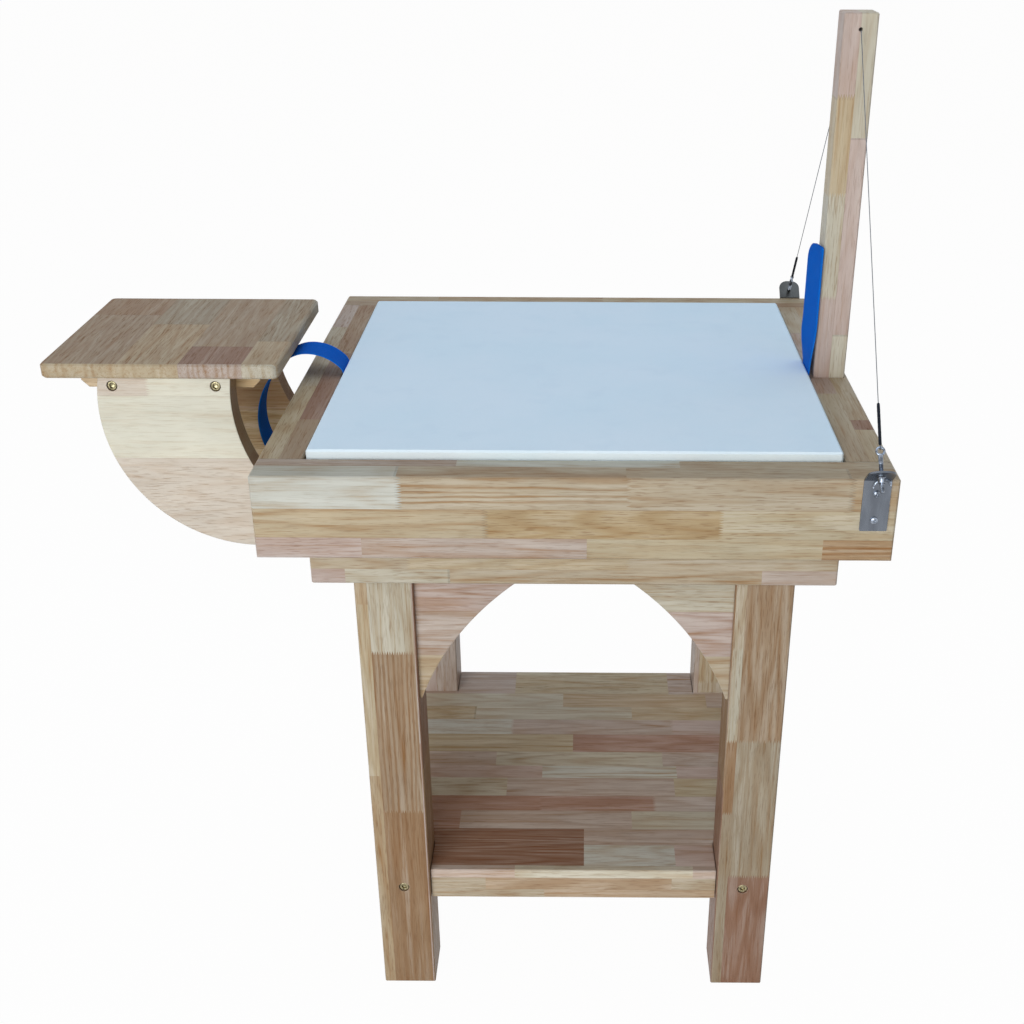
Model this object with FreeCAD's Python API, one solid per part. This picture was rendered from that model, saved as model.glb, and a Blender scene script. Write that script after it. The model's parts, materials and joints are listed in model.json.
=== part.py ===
import FreeCAD, Part
import math
import os

# A pottery wedging table: a laminated wooden stand with a square tray on top, a plaster slab
# that lifts out of the tray on a webbing strap, a small side shelf on two curved knees, and a
# wire clay cutter strung from a mast to a tension plate at the front and at the back.
# Millimetres. X is to the right, -Y is the front, Z is up from the floor.

V = FreeCAD.Vector
X = V(1, 0, 0)
Y = V(0, 1, 0)
Z = V(0, 0, 1)
tolerance = 1e-4

# Small round pieces are many-sided: corners round a rod, and steps round a ring
rod_sides = 20
ring_steps = 24

# Tray: four rails round a floor board
tray_width = 700.0
tray_depth = 700.0
rail_width = 50.0
rail_height = 98.0
rail_arris = 2.0
corner_tenon_thickness = 12.0
corner_tenon_height = 60.0
corner_tenon_length = 50.0

# Plaster slab, which stands a little proud of the rails
slab_thickness = 75.0
slab_proud = 9.0
slab_side_gap = 3.0
slab_front_gap = 3.0
slab_rear_gap = 7.0
slab_arris = 2.2
slab_foot_chamfer = 4.0

# Stand: bench top, four legs, four gussets and the lower shelf
bench_inset = 47.5
bench_thickness = 56.0
bench_arris = 1.5
leg_length = 650.0
leg_section = 70.0
leg_inset = 40.5
leg_arris = 1.5
leg_tenon_section = 34.0
leg_tenon_length = 40.0
gusset_reach = 152.0
gusset_drop = 186.0
gusset_arc_radius = 360.0
gusset_thickness = 32.0
gusset_recess = 8.0
gusset_tip = 3.0
lower_shelf_height = 192.0
lower_shelf_thickness = 47.0
lower_shelf_recess = 8.0
lower_shelf_arris = 1.5
shelf_notch_gap = 1.0

# Socket-headed furniture screws that hold the lower shelf between the legs
leg_screw_diameter = 8.0
leg_screw_head = 13.0
leg_screw_head_height = 6.0
leg_screw_sunk = 7.0
leg_screw_length = 118.0
screw_socket = 6.0
screw_socket_depth = 3.5
head_clearance = 0.5

# Side shelf on two cleats and two curved knees
side_shelf_width = 285.0
side_shelf_depth = 285.0
side_shelf_thickness = 18.0
side_shelf_rise = 54.0
side_shelf_gap = 5.0
side_shelf_corner = 9.0
side_shelf_arris = 2.5
cleat_length = 220.0
cleat_section = 25.0
cleat_chamfer = 9.0
knee_thickness = 32.0
knee_setback = 11.0
knee_radius = 180.0
knee_centre_out = 50.0
knee_drop = 35.0
knee_tongue = 100.0
knee_inner_radius = 188.0
knee_inner_top = 65.0
knee_throat = 39.0
knee_throat_fillet = 18.0
knee_screw_diameter = 6.0
knee_screw_head = 12.0
knee_screw_head_height = 5.0
knee_screw_sunk = 5.5
knee_screw_length = 42.0
knee_screw_spacing = 125.0
knee_screw_in = 15.0
tongue_screw_spacing = 56.0
tongue_screw_diameter = 5.0
tongue_screw_head = 10.0
tongue_screw_length = 60.0

# Mast that holds the wire up
mast_width = 40.0
mast_depth = 40.0
mast_height = 436.0
mast_arris = 1.5
mast_tenon_width = 26.0
mast_tenon_depth = 30.0
mast_tenon_length = 60.0
wire_hole_diameter = 4.5
wire_hole_drop = 18.0

# Bent tension plate with its two screws
plate_width = 30.0
plate_thickness = 2.0
plate_leg = 60.0
plate_flange = 30.0
plate_bend_radius = 3.0
plate_round = 12.0
plate_foot_round = 1.5
flange_hole_offset = 16.0
flange_hole_diameter = 5.6
plate_screw_drop = 16.0
plate_screw_pitch = 31.0
plate_screw_diameter = 4.0
plate_screw_head = 8.0
plate_screw_head_height = 3.0
plate_screw_taper = 1.2
plate_screw_length = 18.0

# Eye bolt, washer and wing nut
eye_bolt_diameter = 5.0
eye_outer = 11.0
eye_rod = 2.7
eye_rise = 26.0
eye_thread = 20.0
eye_sides = 8
front_eye_turn = 0.0
rear_eye_turn = 60.0
washer_diameter = 10.0
washer_thickness = 1.0
nut_gap = 0.2
nut_hub_top = 9.0
nut_hub_end = 7.4
nut_hub_height = 6.5
nut_span = 24.0
nut_ear_reach = 9.5
nut_ear_thickness = 1.8
nut_ear_root = 2.8
nut_ear_start = 1.0
nut_ear_finish = 4.6
nut_ear_belly = 2.6
nut_ear_crook = 6.4
nut_ear_tip_width = 3.4
nut_ear_tip_rise = 2.6
nut_turn = 35.0
running_clearance = 0.05

# Wire and its two sleeves
wire_diameter = 1.0
wire_loop_gap = 0.35
wire_bend_radius = 4.0
wire_stand_off = 2.0
wire_sides = 6
sleeve_diameter = 3.2
sleeve_length = 47.0

# Lifting strap: webbing that runs under the slab, with a tail at each side
strap_width = 50.0
strap_thickness = 2.4
strap_groove_depth = 2.7
strap_groove_play = 2.0
strap_corner_radius = 4.0
strap_rest_gap = 0.3
strap_lean_radius = 300.0
right_tail_height = 168.0
right_tail_rear_round = 24.0
right_tail_front_round = 3.0

# The left tail from the rail's top edge: runs as (length,), bends as (radius, turn in degrees)
left_tail = [(18.0, 45.0), (56.0, 45.0), (45.0, 50.0), (20.0,), (97.0, 40.0), (95.0, 35.0)]

# Heights and places that follow from those sizes
bench_bottom = leg_length
bench_top_z = bench_bottom + bench_thickness
tray_top = bench_top_z + rail_height
slab_bottom = tray_top + slab_proud - slab_thickness
half_w = tray_width / 2
half_d = tray_depth / 2
inner_w = half_w - rail_width
inner_d = half_d - rail_width
bench_w = half_w - bench_inset
bench_d = half_d - bench_inset
leg_out_x = bench_w - leg_inset
leg_out_y = bench_d - leg_inset
leg_in_x = leg_out_x - leg_section
leg_in_y = leg_out_y - leg_section
lower_shelf_mid = lower_shelf_height - lower_shelf_thickness / 2
shelf_right = -half_w - side_shelf_gap
shelf_left = shelf_right - side_shelf_width
shelf_mid_x = (shelf_left + shelf_right) / 2
shelf_under = tray_top + side_shelf_rise - side_shelf_thickness
knee_out_y = side_shelf_depth / 2 - knee_setback
knee_bottom = bench_bottom - knee_drop
knee_centre_x = -half_w - knee_centre_out
knee_centre_z = knee_bottom + knee_radius
mast_x = half_w - rail_width / 2
mast_top = tray_top + mast_height
wire_hole_z = mast_top - wire_hole_drop

# The row's origin is on the floor, in the middle of the whole part's outline
row_x = (shelf_left + half_w) / 2

os.makedirs("parts", exist_ok=True)
corners = [(sx, sy) for sx in (-1, 1) for sy in (-1, 1)]
side_names = {-1: "left", 1: "right"}
end_names = {-1: "front", 1: "rear"}


def save(name, shapes):
    """Write one node, moved so that the row's origin is its zero."""
    shapes = shapes if isinstance(shapes, list) else [shapes]
    placed = []
    for shape in shapes:
        copy = shape.copy()
        copy.translate(V(-row_x, 0, 0))
        placed.append(copy)
    body = placed[0] if len(placed) == 1 else Part.makeCompound(placed)
    body.exportStep("parts/" + name + ".step")


def block(x0, x1, y0, y1, z0, z1):
    return Part.makeBox(x1 - x0, y1 - y0, z1 - z0, V(x0, y0, z0))


def regular_outline(diameter, sides, start, direction):
    """A regular polygon with its corners on a circle, square to a direction."""
    turn = FreeCAD.Rotation(Z, direction)
    points = []
    for k in range(sides + 1):
        angle = 2 * math.pi * k / sides
        corner = V(math.cos(angle), math.sin(angle), 0) * (diameter / 2)
        points.append(start + turn.multVec(corner))
    return Part.makePolygon(points)


def rod(diameter, length, start, direction, sides=rod_sides):
    outline = regular_outline(diameter, sides, start, direction)
    return Part.Face(outline).extrude(direction.normalize() * length)


def tapered_rod(diameter, end_diameter, length, start, direction):
    end = start + direction * length
    outlines = [regular_outline(diameter, rod_sides, start, direction),
                regular_outline(end_diameter, rod_sides, end, direction)]
    return Part.makeLoft(outlines, True, True)


def edges_where(shape, test):
    """The edges whose two ends both pass the test."""
    found = []
    for edge in shape.Edges:
        ends = [vertex.Point for vertex in edge.Vertexes]
        if ends and all(test(p) for p in ends):
            found.append(edge)
    return found


def runs_along(edge, axis):
    """Whether an edge's two ends lie one after the other along the given axis."""
    step = edge.Vertexes[-1].Point.sub(edge.Vertexes[0].Point)
    return step.Length > 0 and near(abs(step.dot(axis)), step.Length)


def near(value, target):
    return abs(value - target) < tolerance


def extrude_outline(edges, direction):
    return Part.Face(Part.Wire(Part.sortEdges(edges)[0])).extrude(direction)


def arc_by_radius(start, end, radius, bulge):
    """The short arc of a given radius between two points, bulging towards a direction."""
    middle = (start + end) * 0.5
    half = end.sub(start).Length / 2
    rise = radius - math.sqrt(radius ** 2 - half ** 2)
    chord = end.sub(start).normalize()
    side = bulge.sub(chord * bulge.dot(chord)).normalize()
    return Part.Arc(start, middle + side * rise, end).toShape()


def ribbon(start, heading, steps, thickness, across, width):
    """A bent strip: its middle line is runs and tangent bends in the plane square to `across`.

    A step is (length,) for a run or (radius, turn) for a bend, with the turn in degrees,
    positive to the left of the heading as seen with `across` pointing away from the eye.
    """
    flat_x = X if abs(across.y) > 0.5 else Y
    flat_z = Z
    at = start
    angle = math.radians(heading)
    sides = {1: [], -1: []}
    edge_points = {}

    def aim(a):
        return flat_x * math.cos(a) + flat_z * math.sin(a)

    def left_of(a):
        return flat_x * -math.sin(a) + flat_z * math.cos(a)

    for side in sides:
        edge_points[side] = at + left_of(angle) * (side * thickness / 2)
    first = dict(edge_points)
    for step in steps:
        if len(step) == 1:
            at = at + aim(angle) * step[0]
            for side in sides:
                end = at + left_of(angle) * (side * thickness / 2)
                sides[side].append(Part.LineSegment(edge_points[side], end).toShape())
                edge_points[side] = end
            continue
        radius, turn = step
        sense = 1 if turn > 0 else -1
        centre = at + left_of(angle) * (sense * radius)
        after = angle + math.radians(turn)
        half_way = (angle + after) / 2
        for side in sides:
            reach = -sense * (radius - sense * side * thickness / 2)
            middle = centre + left_of(half_way) * reach
            end = centre + left_of(after) * reach
            sides[side].append(Part.Arc(edge_points[side], middle, end).toShape())
            edge_points[side] = end
        at = centre + left_of(after) * (-sense * radius)
        angle = after
    caps = [
        Part.LineSegment(first[1], first[-1]).toShape(),
        Part.LineSegment(edge_points[1], edge_points[-1]).toShape(),
    ]
    strip = extrude_outline(sides[1] + sides[-1] + caps, across * width)
    strip.translate(across * (-width / 2))
    return strip


def counterbored(shape, start, direction, diameter, depth, head, sunk):
    """Cut a screw's hole and the recess for its head."""
    recess = rod(head + 2 * head_clearance, sunk, start, direction)
    return shape.cut([rod(diameter, depth, start, direction), recess])


def socket_screw(start, direction, diameter, length, head, head_height, sunk):
    """A cap screw with a hexagon socket, its head sunk below the surface at `start`."""
    top = start + direction * (sunk - head_height)
    screw = rod(head, head_height, top, direction)
    screw = screw.fuse(rod(diameter, length, top + direction * head_height, direction))
    across_corners = 2 * screw_socket / math.sqrt(3)
    return screw.cut(rod(across_corners, screw_socket_depth, top, direction, 6)).removeSplitter()


def tongue_screw(place):
    """A countersunk wood screw driven straight up, its head flush with the face at `place`."""
    taper = (tongue_screw_head - tongue_screw_diameter) / 2
    head = tapered_rod(tongue_screw_head, tongue_screw_diameter, taper, place, Z)
    return head.fuse(rod(tongue_screw_diameter, tongue_screw_length, place, Z)).removeSplitter()


# Tray rails: front and rear run full width, the side rails butt between them

def end_rail(end):
    outside = end * half_d
    low, high = sorted((outside, end * inner_d))
    rail = block(-half_w, half_w, low, high, bench_top_z, tray_top)
    soft = []
    for edge in rail.Edges:
        points = [v.Point for v in edge.Vertexes]
        outer_face = all(near(p.y, outside) for p in points)
        end_face = all(near(abs(p.x), half_w) for p in points)
        top_inner = all(near(p.z, tray_top) for p in points)
        if outer_face or end_face and top_inner:
            soft.append(edge)
    rail = rail.makeChamfer(rail_arris, soft)
    for side in (-1, 1):
        rail = rail.cut(corner_tenon(side, end))
        for drop in plate_screw_drops():
            if side == 1:
                start = V(mast_x, outside, tray_top - drop)
                rail = rail.cut(rod(plate_screw_diameter, plate_screw_length, start, V(0, -end, 0)))
    return rail


def plate_screw_drops():
    return [plate_screw_drop, plate_screw_drop + plate_screw_pitch]


def corner_tenon(side, end):
    x = side * (half_w - rail_width / 2)
    y = end * inner_d
    z = bench_top_z + rail_height / 2
    return block(
        x - corner_tenon_thickness / 2, x + corner_tenon_thickness / 2,
        y - corner_tenon_length / 2, y + corner_tenon_length / 2,
        z - corner_tenon_height / 2, z + corner_tenon_height / 2,
    )


def side_rail(side):
    low, high = sorted((side * half_w, side * inner_w))
    rail = block(low, high, -inner_d, inner_d, bench_top_z, tray_top)
    soft = [e for e in rail.Edges if runs_along(e, Y) and not (
        near(e.Vertexes[0].Z, bench_top_z) and near(abs(e.Vertexes[0].X), inner_w))]
    rail = rail.makeChamfer(rail_arris, soft)
    for end in (-1, 1):
        rail = rail.cut(corner_tenon(side, end))
    return rail.cut(mast_tenon()) if side == 1 else rail


def mast_tenon():
    return block(
        mast_x - mast_tenon_width / 2, mast_x + mast_tenon_width / 2,
        -mast_tenon_depth / 2, mast_tenon_depth / 2,
        tray_top - mast_tenon_length, tray_top,
    )


for end in (-1, 1):
    save("tray_" + end_names[end] + "_rail", end_rail(end))
for side in (-1, 1):
    save("tray_" + side_names[side] + "_rail", side_rail(side))
save("tray_corner_tenons", [corner_tenon(sx, sy) for sx, sy in corners])

# Tray floor, with a shallow groove across it for the strap
tray_floor = block(-inner_w, inner_w, -inner_d, inner_d, bench_top_z, slab_bottom)
groove_half = strap_width / 2 + strap_groove_play
groove_z = slab_bottom - strap_groove_depth
tray_floor = tray_floor.cut(
    block(-inner_w, inner_w, -groove_half, groove_half, groove_z, slab_bottom))
save("tray_floor", tray_floor)

# Plaster slab
slab_w = inner_w - slab_side_gap
slab_front = -inner_d + slab_front_gap
slab_rear = inner_d - slab_rear_gap
slab_top = slab_bottom + slab_thickness
slab = block(-slab_w, slab_w, slab_front, slab_rear, slab_bottom, slab_top)
slab = slab.makeChamfer(slab_arris, edges_where(slab, lambda p: near(p.z, slab_top)) + [
    e for e in slab.Edges if runs_along(e, Z)])
foot_edges = edges_where(slab, lambda p: near(p.z, slab_bottom) and near(abs(p.x), slab_w))
slab = slab.makeChamfer(slab_foot_chamfer, foot_edges)
save("plaster_slab", slab)


# Lifting strap

def lifting_strap():
    """Both halves start under the middle of the slab, turn up in the gap and run to a tail."""
    middle_z = groove_z + strap_thickness / 2
    gap_x = inner_w - slab_side_gap / 2
    out = (gap_x - strap_corner_radius,)
    up = (tray_top - middle_z - strap_corner_radius,)
    start = V(0, 0, middle_z)
    left_steps = [out, (strap_corner_radius, -90.0), up] + left_tail
    left_half = ribbon(start, 180.0, left_steps, strap_thickness, Y, strap_width)
    lean = mast_x - mast_width / 2 - strap_rest_gap - strap_thickness / 2 - gap_x
    lean_turn = math.degrees(math.acos(1 - lean / (2 * strap_lean_radius)))
    lean_rise = 2 * strap_lean_radius * math.sin(math.radians(lean_turn))
    stand = (right_tail_height - lean_rise,)
    right_steps = [out, (strap_corner_radius, 90.0), up]
    right_steps += [(strap_lean_radius, -lean_turn), (strap_lean_radius, lean_turn), stand]
    right_half = ribbon(start, 0.0, right_steps, strap_thickness, Y, strap_width)
    top = tray_top + right_tail_height
    tip = [e for e in right_half.Edges if runs_along(e, X) and near(e.Vertexes[0].Z, top)]
    right_half = right_half.makeFillet(right_tail_front_round, [e for e in tip if e.Vertexes[0].Y < 0])
    tip = [e for e in right_half.Edges if runs_along(e, X) and near(e.Vertexes[0].Z, top)]
    right_half = right_half.makeFillet(right_tail_rear_round, [e for e in tip if e.Vertexes[0].Y > 0])
    return left_half.fuse(right_half).removeSplitter()


save("lifting_strap", lifting_strap())


# Bench top, with a mortise over each leg

def leg_tenon(sx, sy):
    x = sx * (leg_out_x - leg_section / 2)
    y = sy * (leg_out_y - leg_section / 2)
    half = leg_tenon_section / 2
    return block(x - half, x + half, y - half, y + half, bench_bottom,
                 bench_bottom + leg_tenon_length)


def tongue_screw_places(end):
    """Two screws along each knee's tongue, up into the bench top."""
    y = end * (knee_out_y - knee_thickness / 2)
    middle = -bench_w + knee_tongue / 2
    return [V(middle + k * tongue_screw_spacing / 2, y, knee_bottom) for k in (-1, 1)]


bench = block(-bench_w, bench_w, -bench_d, bench_d, bench_bottom, bench_top_z)
bench = bench.makeChamfer(bench_arris, bench.Edges)
for sx, sy in corners:
    bench = bench.cut(leg_tenon(sx, sy))
for end in (-1, 1):
    bench = bench.cut([tongue_screw(place) for place in tongue_screw_places(end)])
save("bench_top", bench)


# Legs

def leg(sx, sy):
    x0, x1 = sorted((sx * leg_out_x, sx * leg_in_x))
    y0, y1 = sorted((sy * leg_out_y, sy * leg_in_y))
    post = block(x0, x1, y0, y1, 0, leg_length)
    foot = edges_where(post, lambda p: near(p.z, 0))
    post = post.makeChamfer(leg_arris, foot + [e for e in post.Edges if runs_along(e, Z)])
    post = post.fuse(leg_tenon(sx, sy))
    start = leg_screw_start(sx, sy)
    return counterbored(post, start, V(0, -sy, 0), leg_screw_diameter, leg_section,
                        leg_screw_head, leg_screw_sunk)


def leg_screw_start(sx, sy):
    return V(sx * (leg_out_x - leg_section / 2), sy * leg_out_y, lower_shelf_mid)


for sx, sy in corners:
    save(end_names[sy] + "_" + side_names[sx] + "_leg", leg(sx, sy))


# Gussets between the legs and the bench top, with a hollow arc as the free edge

def gusset(sx, sy):
    y = sy * (leg_out_y - gusset_recess - gusset_thickness / 2)
    low = y - gusset_thickness / 2
    root = V(sx * leg_in_x, low, bench_bottom)
    along_bench = root + V(-sx * gusset_reach, 0, 0)
    down_leg = root + V(0, 0, -gusset_drop)
    bench_tip = along_bench + V(0, 0, -gusset_tip)
    leg_tip = down_leg + V(-sx * gusset_tip, 0, 0)
    edges = [
        Part.LineSegment(root, along_bench).toShape(),
        Part.LineSegment(along_bench, bench_tip).toShape(),
        arc_by_radius(bench_tip, leg_tip, gusset_arc_radius, V(sx, 0, 1)),
        Part.LineSegment(leg_tip, down_leg).toShape(),
        Part.LineSegment(down_leg, root).toShape(),
    ]
    return extrude_outline(edges, V(0, gusset_thickness, 0))


for sx, sy in corners:
    save(end_names[sy] + "_" + side_names[sx] + "_gusset", gusset(sx, sy))


# Lower shelf, notched round the legs and drilled for the screws

def lower_shelf():
    shelf_x = leg_out_x - lower_shelf_recess
    shelf_y = leg_out_y - lower_shelf_recess
    bottom = lower_shelf_height - lower_shelf_thickness
    board = block(-shelf_x, shelf_x, -shelf_y, shelf_y, bottom, lower_shelf_height)
    for sx, sy in corners:
        x0, x1 = sorted((sx * (leg_in_x - shelf_notch_gap), sx * leg_out_x))
        y0, y1 = sorted((sy * leg_in_y, sy * leg_out_y))
        board = board.cut(block(x0, x1, y0, y1, bottom, lower_shelf_height))
    outer = [e for e in board.Edges if not runs_along(e, Z) and (
        all(near(abs(v.Y), shelf_y) for v in e.Vertexes)
        or all(near(abs(v.X), shelf_x) for v in e.Vertexes))]
    board = board.makeChamfer(lower_shelf_arris, outer)
    reach = leg_screw_sunk + leg_screw_length
    return board.cut([rod(leg_screw_diameter, reach, leg_screw_start(sx, sy), V(0, -sy, 0))
                      for sx, sy in corners])


save("lower_shelf", lower_shelf())
save("leg_screws", [
    socket_screw(leg_screw_start(sx, sy), V(0, -sy, 0), leg_screw_diameter, leg_screw_length,
                 leg_screw_head, leg_screw_head_height, leg_screw_sunk)
    for sx, sy in corners])


# Side shelf board, its cleats and its curved knees

def side_shelf_board():
    half = side_shelf_depth / 2
    board = block(shelf_left, shelf_right, -half, half, shelf_under,
                  shelf_under + side_shelf_thickness)
    board = board.makeFillet(side_shelf_corner, [e for e in board.Edges if runs_along(e, Z)])
    flat = [e for e in board.Edges if near(e.BoundBox.ZMin, e.BoundBox.ZMax)]
    return board.makeChamfer(side_shelf_arris, flat)


save("side_shelf_board", side_shelf_board())


def knee_screw_xs():
    """The screws sit in from the knee's outer top corner, a fixed spacing apart."""
    rise = shelf_under - knee_centre_z
    outer_top = knee_centre_x - math.sqrt(knee_radius ** 2 - rise ** 2)
    first = outer_top + knee_screw_in
    return [first, first + knee_screw_spacing]


def knee_screw_places(end):
    y = end * knee_out_y
    z = shelf_under - cleat_section / 2
    return [V(x, y, z) for x in knee_screw_xs()]


def cleat(end):
    """A square strip inside the knee, its lower corners cut off at both ends."""
    inside = knee_out_y - knee_thickness
    y0, y1 = sorted((end * inside, end * (inside - cleat_section)))
    bottom = shelf_under - cleat_section
    half = cleat_length / 2
    strip = block(shelf_mid_x - half, shelf_mid_x + half, y0, y1, bottom, shelf_under)
    ends = edges_where(strip, lambda p: near(p.z, bottom) and near(abs(p.x - shelf_mid_x), half))
    strip = strip.makeChamfer(cleat_chamfer, [e for e in ends if runs_along(e, Y)])
    for place in knee_screw_places(end):
        reach = knee_screw_sunk + knee_screw_length
        strip = strip.cut(rod(knee_screw_diameter, reach, place, V(0, -end, 0)))
    return strip


def knee(end):
    """A board knee: round outside, hollow inside, with a tongue under the bench top."""
    y = end * knee_out_y - (knee_thickness if end == 1 else 0)
    face_x = -half_w
    rise = shelf_under - knee_centre_z
    outer_top = V(knee_centre_x - math.sqrt(knee_radius ** 2 - rise ** 2), y, shelf_under)
    slant = knee_radius * math.sqrt(0.5)
    outer_side = V(knee_centre_x - slant, y, knee_centre_z - slant)
    outer_foot = V(knee_centre_x, y, knee_bottom)
    tongue_x = -bench_w + knee_tongue
    tongue_low = V(tongue_x, y, knee_bottom)
    tongue_high = V(tongue_x, y, bench_bottom)
    bench_low = V(-bench_w, y, bench_bottom)
    bench_high = V(-bench_w, y, bench_top_z)
    throat = V(face_x - knee_throat, y, bench_top_z)
    inner_top = V(face_x - knee_inner_top, y, shelf_under)
    edges = [
        Part.Arc(outer_top, outer_side, outer_foot).toShape(),
        Part.LineSegment(outer_foot, tongue_low).toShape(),
        Part.LineSegment(tongue_low, tongue_high).toShape(),
        Part.LineSegment(tongue_high, bench_low).toShape(),
        Part.LineSegment(bench_low, bench_high).toShape(),
        Part.LineSegment(bench_high, throat).toShape(),
        arc_by_radius(throat, inner_top, knee_inner_radius, V(-1, 0, 0)),
        Part.LineSegment(inner_top, outer_top).toShape(),
    ]
    board = extrude_outline(edges, V(0, knee_thickness, 0))
    crook = edges_where(board, lambda p: near(p.x, throat.x) and near(p.z, throat.z))
    board = board.makeFillet(knee_throat_fillet, crook)
    tip = edges_where(board, lambda p: near(p.x, tongue_x) and near(p.z, knee_bottom))
    board = board.makeFillet(knee_drop / 2, tip)
    for place in knee_screw_places(end):
        board = counterbored(board, place, V(0, -end, 0), knee_screw_diameter, knee_thickness,
                             knee_screw_head, knee_screw_sunk)
    return board.cut([tongue_screw(place) for place in tongue_screw_places(end)])


knee_screws = []
tongue_screws = []
for end in (-1, 1):
    save("side_shelf_" + end_names[end] + "_cleat", cleat(end))
    save("side_shelf_" + end_names[end] + "_knee", knee(end))
    for place in knee_screw_places(end):
        knee_screws.append(socket_screw(
            place, V(0, -end, 0), knee_screw_diameter, knee_screw_length,
            knee_screw_head, knee_screw_head_height, knee_screw_sunk))
    tongue_screws += [tongue_screw(place) for place in tongue_screw_places(end)]
save("side_shelf_knee_screws", knee_screws)
save("side_shelf_tongue_screws", tongue_screws)

# Mast, with its tenon in the right rail and the wire's hole near its top
mast = block(mast_x - mast_width / 2, mast_x + mast_width / 2,
             -mast_depth / 2, mast_depth / 2, tray_top, mast_top)
mast_foot = edges_where(mast, lambda p: near(p.z, tray_top))
mast = mast.makeChamfer(mast_arris, [e for e in mast.Edges
                                     if not any(e.isSame(f) for f in mast_foot)])
mast = mast.fuse(mast_tenon())
mast = mast.cut(rod(wire_hole_diameter, mast_depth, V(mast_x, -mast_depth / 2, wire_hole_z),
                    Y))
save("mast", mast)

# The wire leaves the mast's hole a little in front of the wood, and the plate's flange is
# tilted so that it stands square to the wire: the distance from the bend to the wire's foot,
# measured along the flange, is then the offset of the flange's hole.
bend_y = -half_d - plate_thickness / 2
mouth_y = -mast_depth / 2 - wire_stand_off
reach_y = mouth_y - bend_y
reach_z = wire_hole_z - tray_top
flange_tilt = math.atan2(reach_y, reach_z) + math.asin(
    flange_hole_offset / math.hypot(reach_y, reach_z))
flange_aim = V(0, -math.cos(flange_tilt), math.sin(flange_tilt))
wire_aim = V(0, math.sin(flange_tilt), math.cos(flange_tilt))
bend_point = V(mast_x, bend_y, tray_top)
hole_point = bend_point + flange_aim * flange_hole_offset
seat_point = hole_point + wire_aim * (plate_thickness / 2)
eye_centre = seat_point + wire_aim * eye_rise
eye_ring_radius = (eye_outer - eye_rod) / 2
eye_crown = eye_centre + wire_aim * eye_ring_radius
loop_radius = eye_rod / 2 + wire_loop_gap + wire_diameter / 2
sleeve_foot = eye_crown + wire_aim * (loop_radius + wire_diameter / 2 + wire_loop_gap)


def at_rear(shape):
    """The rear hardware is the front one turned half round about the mast's middle line."""
    turned = shape.copy()
    turned.rotate(V(mast_x, 0, 0), Z, 180)
    return turned


def tension_plate():
    leg_run = plate_leg - plate_bend_radius * math.tan((math.pi / 2 - flange_tilt) / 2)
    flange_run = plate_flange - plate_bend_radius * math.tan((math.pi / 2 - flange_tilt) / 2)
    start = V(mast_x, bend_y, tray_top - plate_leg)
    turn = math.degrees(math.pi / 2 - flange_tilt)
    steps = [(leg_run,), (plate_bend_radius, turn), (flange_run,)]
    plate = ribbon(start, 90.0, steps, plate_thickness, X, plate_width)
    tip = bend_point + flange_aim * plate_flange
    tip_edges = [e for e in plate.Edges if near(e.Length, plate_thickness)
                 and near(e.CenterOfMass.sub(tip).dot(flange_aim), 0)]
    plate = plate.makeFillet(plate_round, tip_edges)
    foot_edges = [e for e in plate.Edges if near(e.Length, plate_thickness)
                  and near(e.CenterOfMass.z, tray_top - plate_leg)]
    plate = plate.makeFillet(plate_foot_round, foot_edges)
    above = seat_point + wire_aim * (plate_thickness / 2)
    plate = plate.cut(rod(flange_hole_diameter, 2 * plate_thickness, above, wire_aim * -1))
    for drop in plate_screw_drops():
        outside = V(mast_x, -half_d - plate_thickness, tray_top - drop)
        plate = plate.cut(rod(plate_screw_diameter, plate_thickness, outside, Y))
    return plate


def plate_screws():
    """Pan-headed screws: a low tapered head over a plain shank."""
    screws = []
    for drop in plate_screw_drops():
        face = V(mast_x, -half_d - plate_thickness, tray_top - drop)
        crown = plate_screw_head - 2 * plate_screw_taper
        head = tapered_rod(plate_screw_head, crown, plate_screw_head_height, face, Y * -1)
        shank = rod(plate_screw_diameter, plate_thickness + plate_screw_length, face, Y)
        screws.append(head.fuse(shank).removeSplitter())
    return screws


def faceted_ring(centre, axis, ring_radius, section_diameter, sides):
    """A ring made of flat facets, with a regular polygon for its section."""
    turn = FreeCAD.Rotation(Z, axis)
    reach = section_diameter / 2

    def corner(step, side):
        round_ring = 2 * math.pi * step / ring_steps
        round_section = 2 * math.pi * (side + 0.5) / sides
        out = ring_radius + reach * math.cos(round_section)
        up = reach * math.sin(round_section)
        return centre + turn.multVec(V(out * math.cos(round_ring), out * math.sin(round_ring), up))

    faces = []
    for step in range(ring_steps):
        for side in range(sides):
            here = [corner(step, side), corner(step + 1, side),
                    corner(step + 1, side + 1), corner(step, side + 1)]
            faces.append(Part.Face(Part.makePolygon(here + here[:1])))
    return Part.makeSolid(Part.makeShell(faces))


def eye_bolt(ring_turn):
    """A ring on a threaded shank, which slides through the flange along the wire's line."""
    ring_axis = FreeCAD.Rotation(wire_aim, ring_turn).multVec(X.cross(wire_aim))
    ring = faceted_ring(eye_centre, ring_axis, eye_ring_radius, eye_rod, eye_sides)
    foot = seat_point - wire_aim * eye_thread
    length = eye_thread + eye_rise - eye_ring_radius
    return ring.fuse(Part.makeCylinder(eye_bolt_diameter / 2, length, foot, wire_aim))


def washer():
    under = seat_point - wire_aim * plate_thickness
    disc = rod(washer_diameter, washer_thickness, under, wire_aim * -1)
    return disc.cut(rod(flange_hole_diameter, washer_thickness, under, wire_aim * -1))


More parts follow.
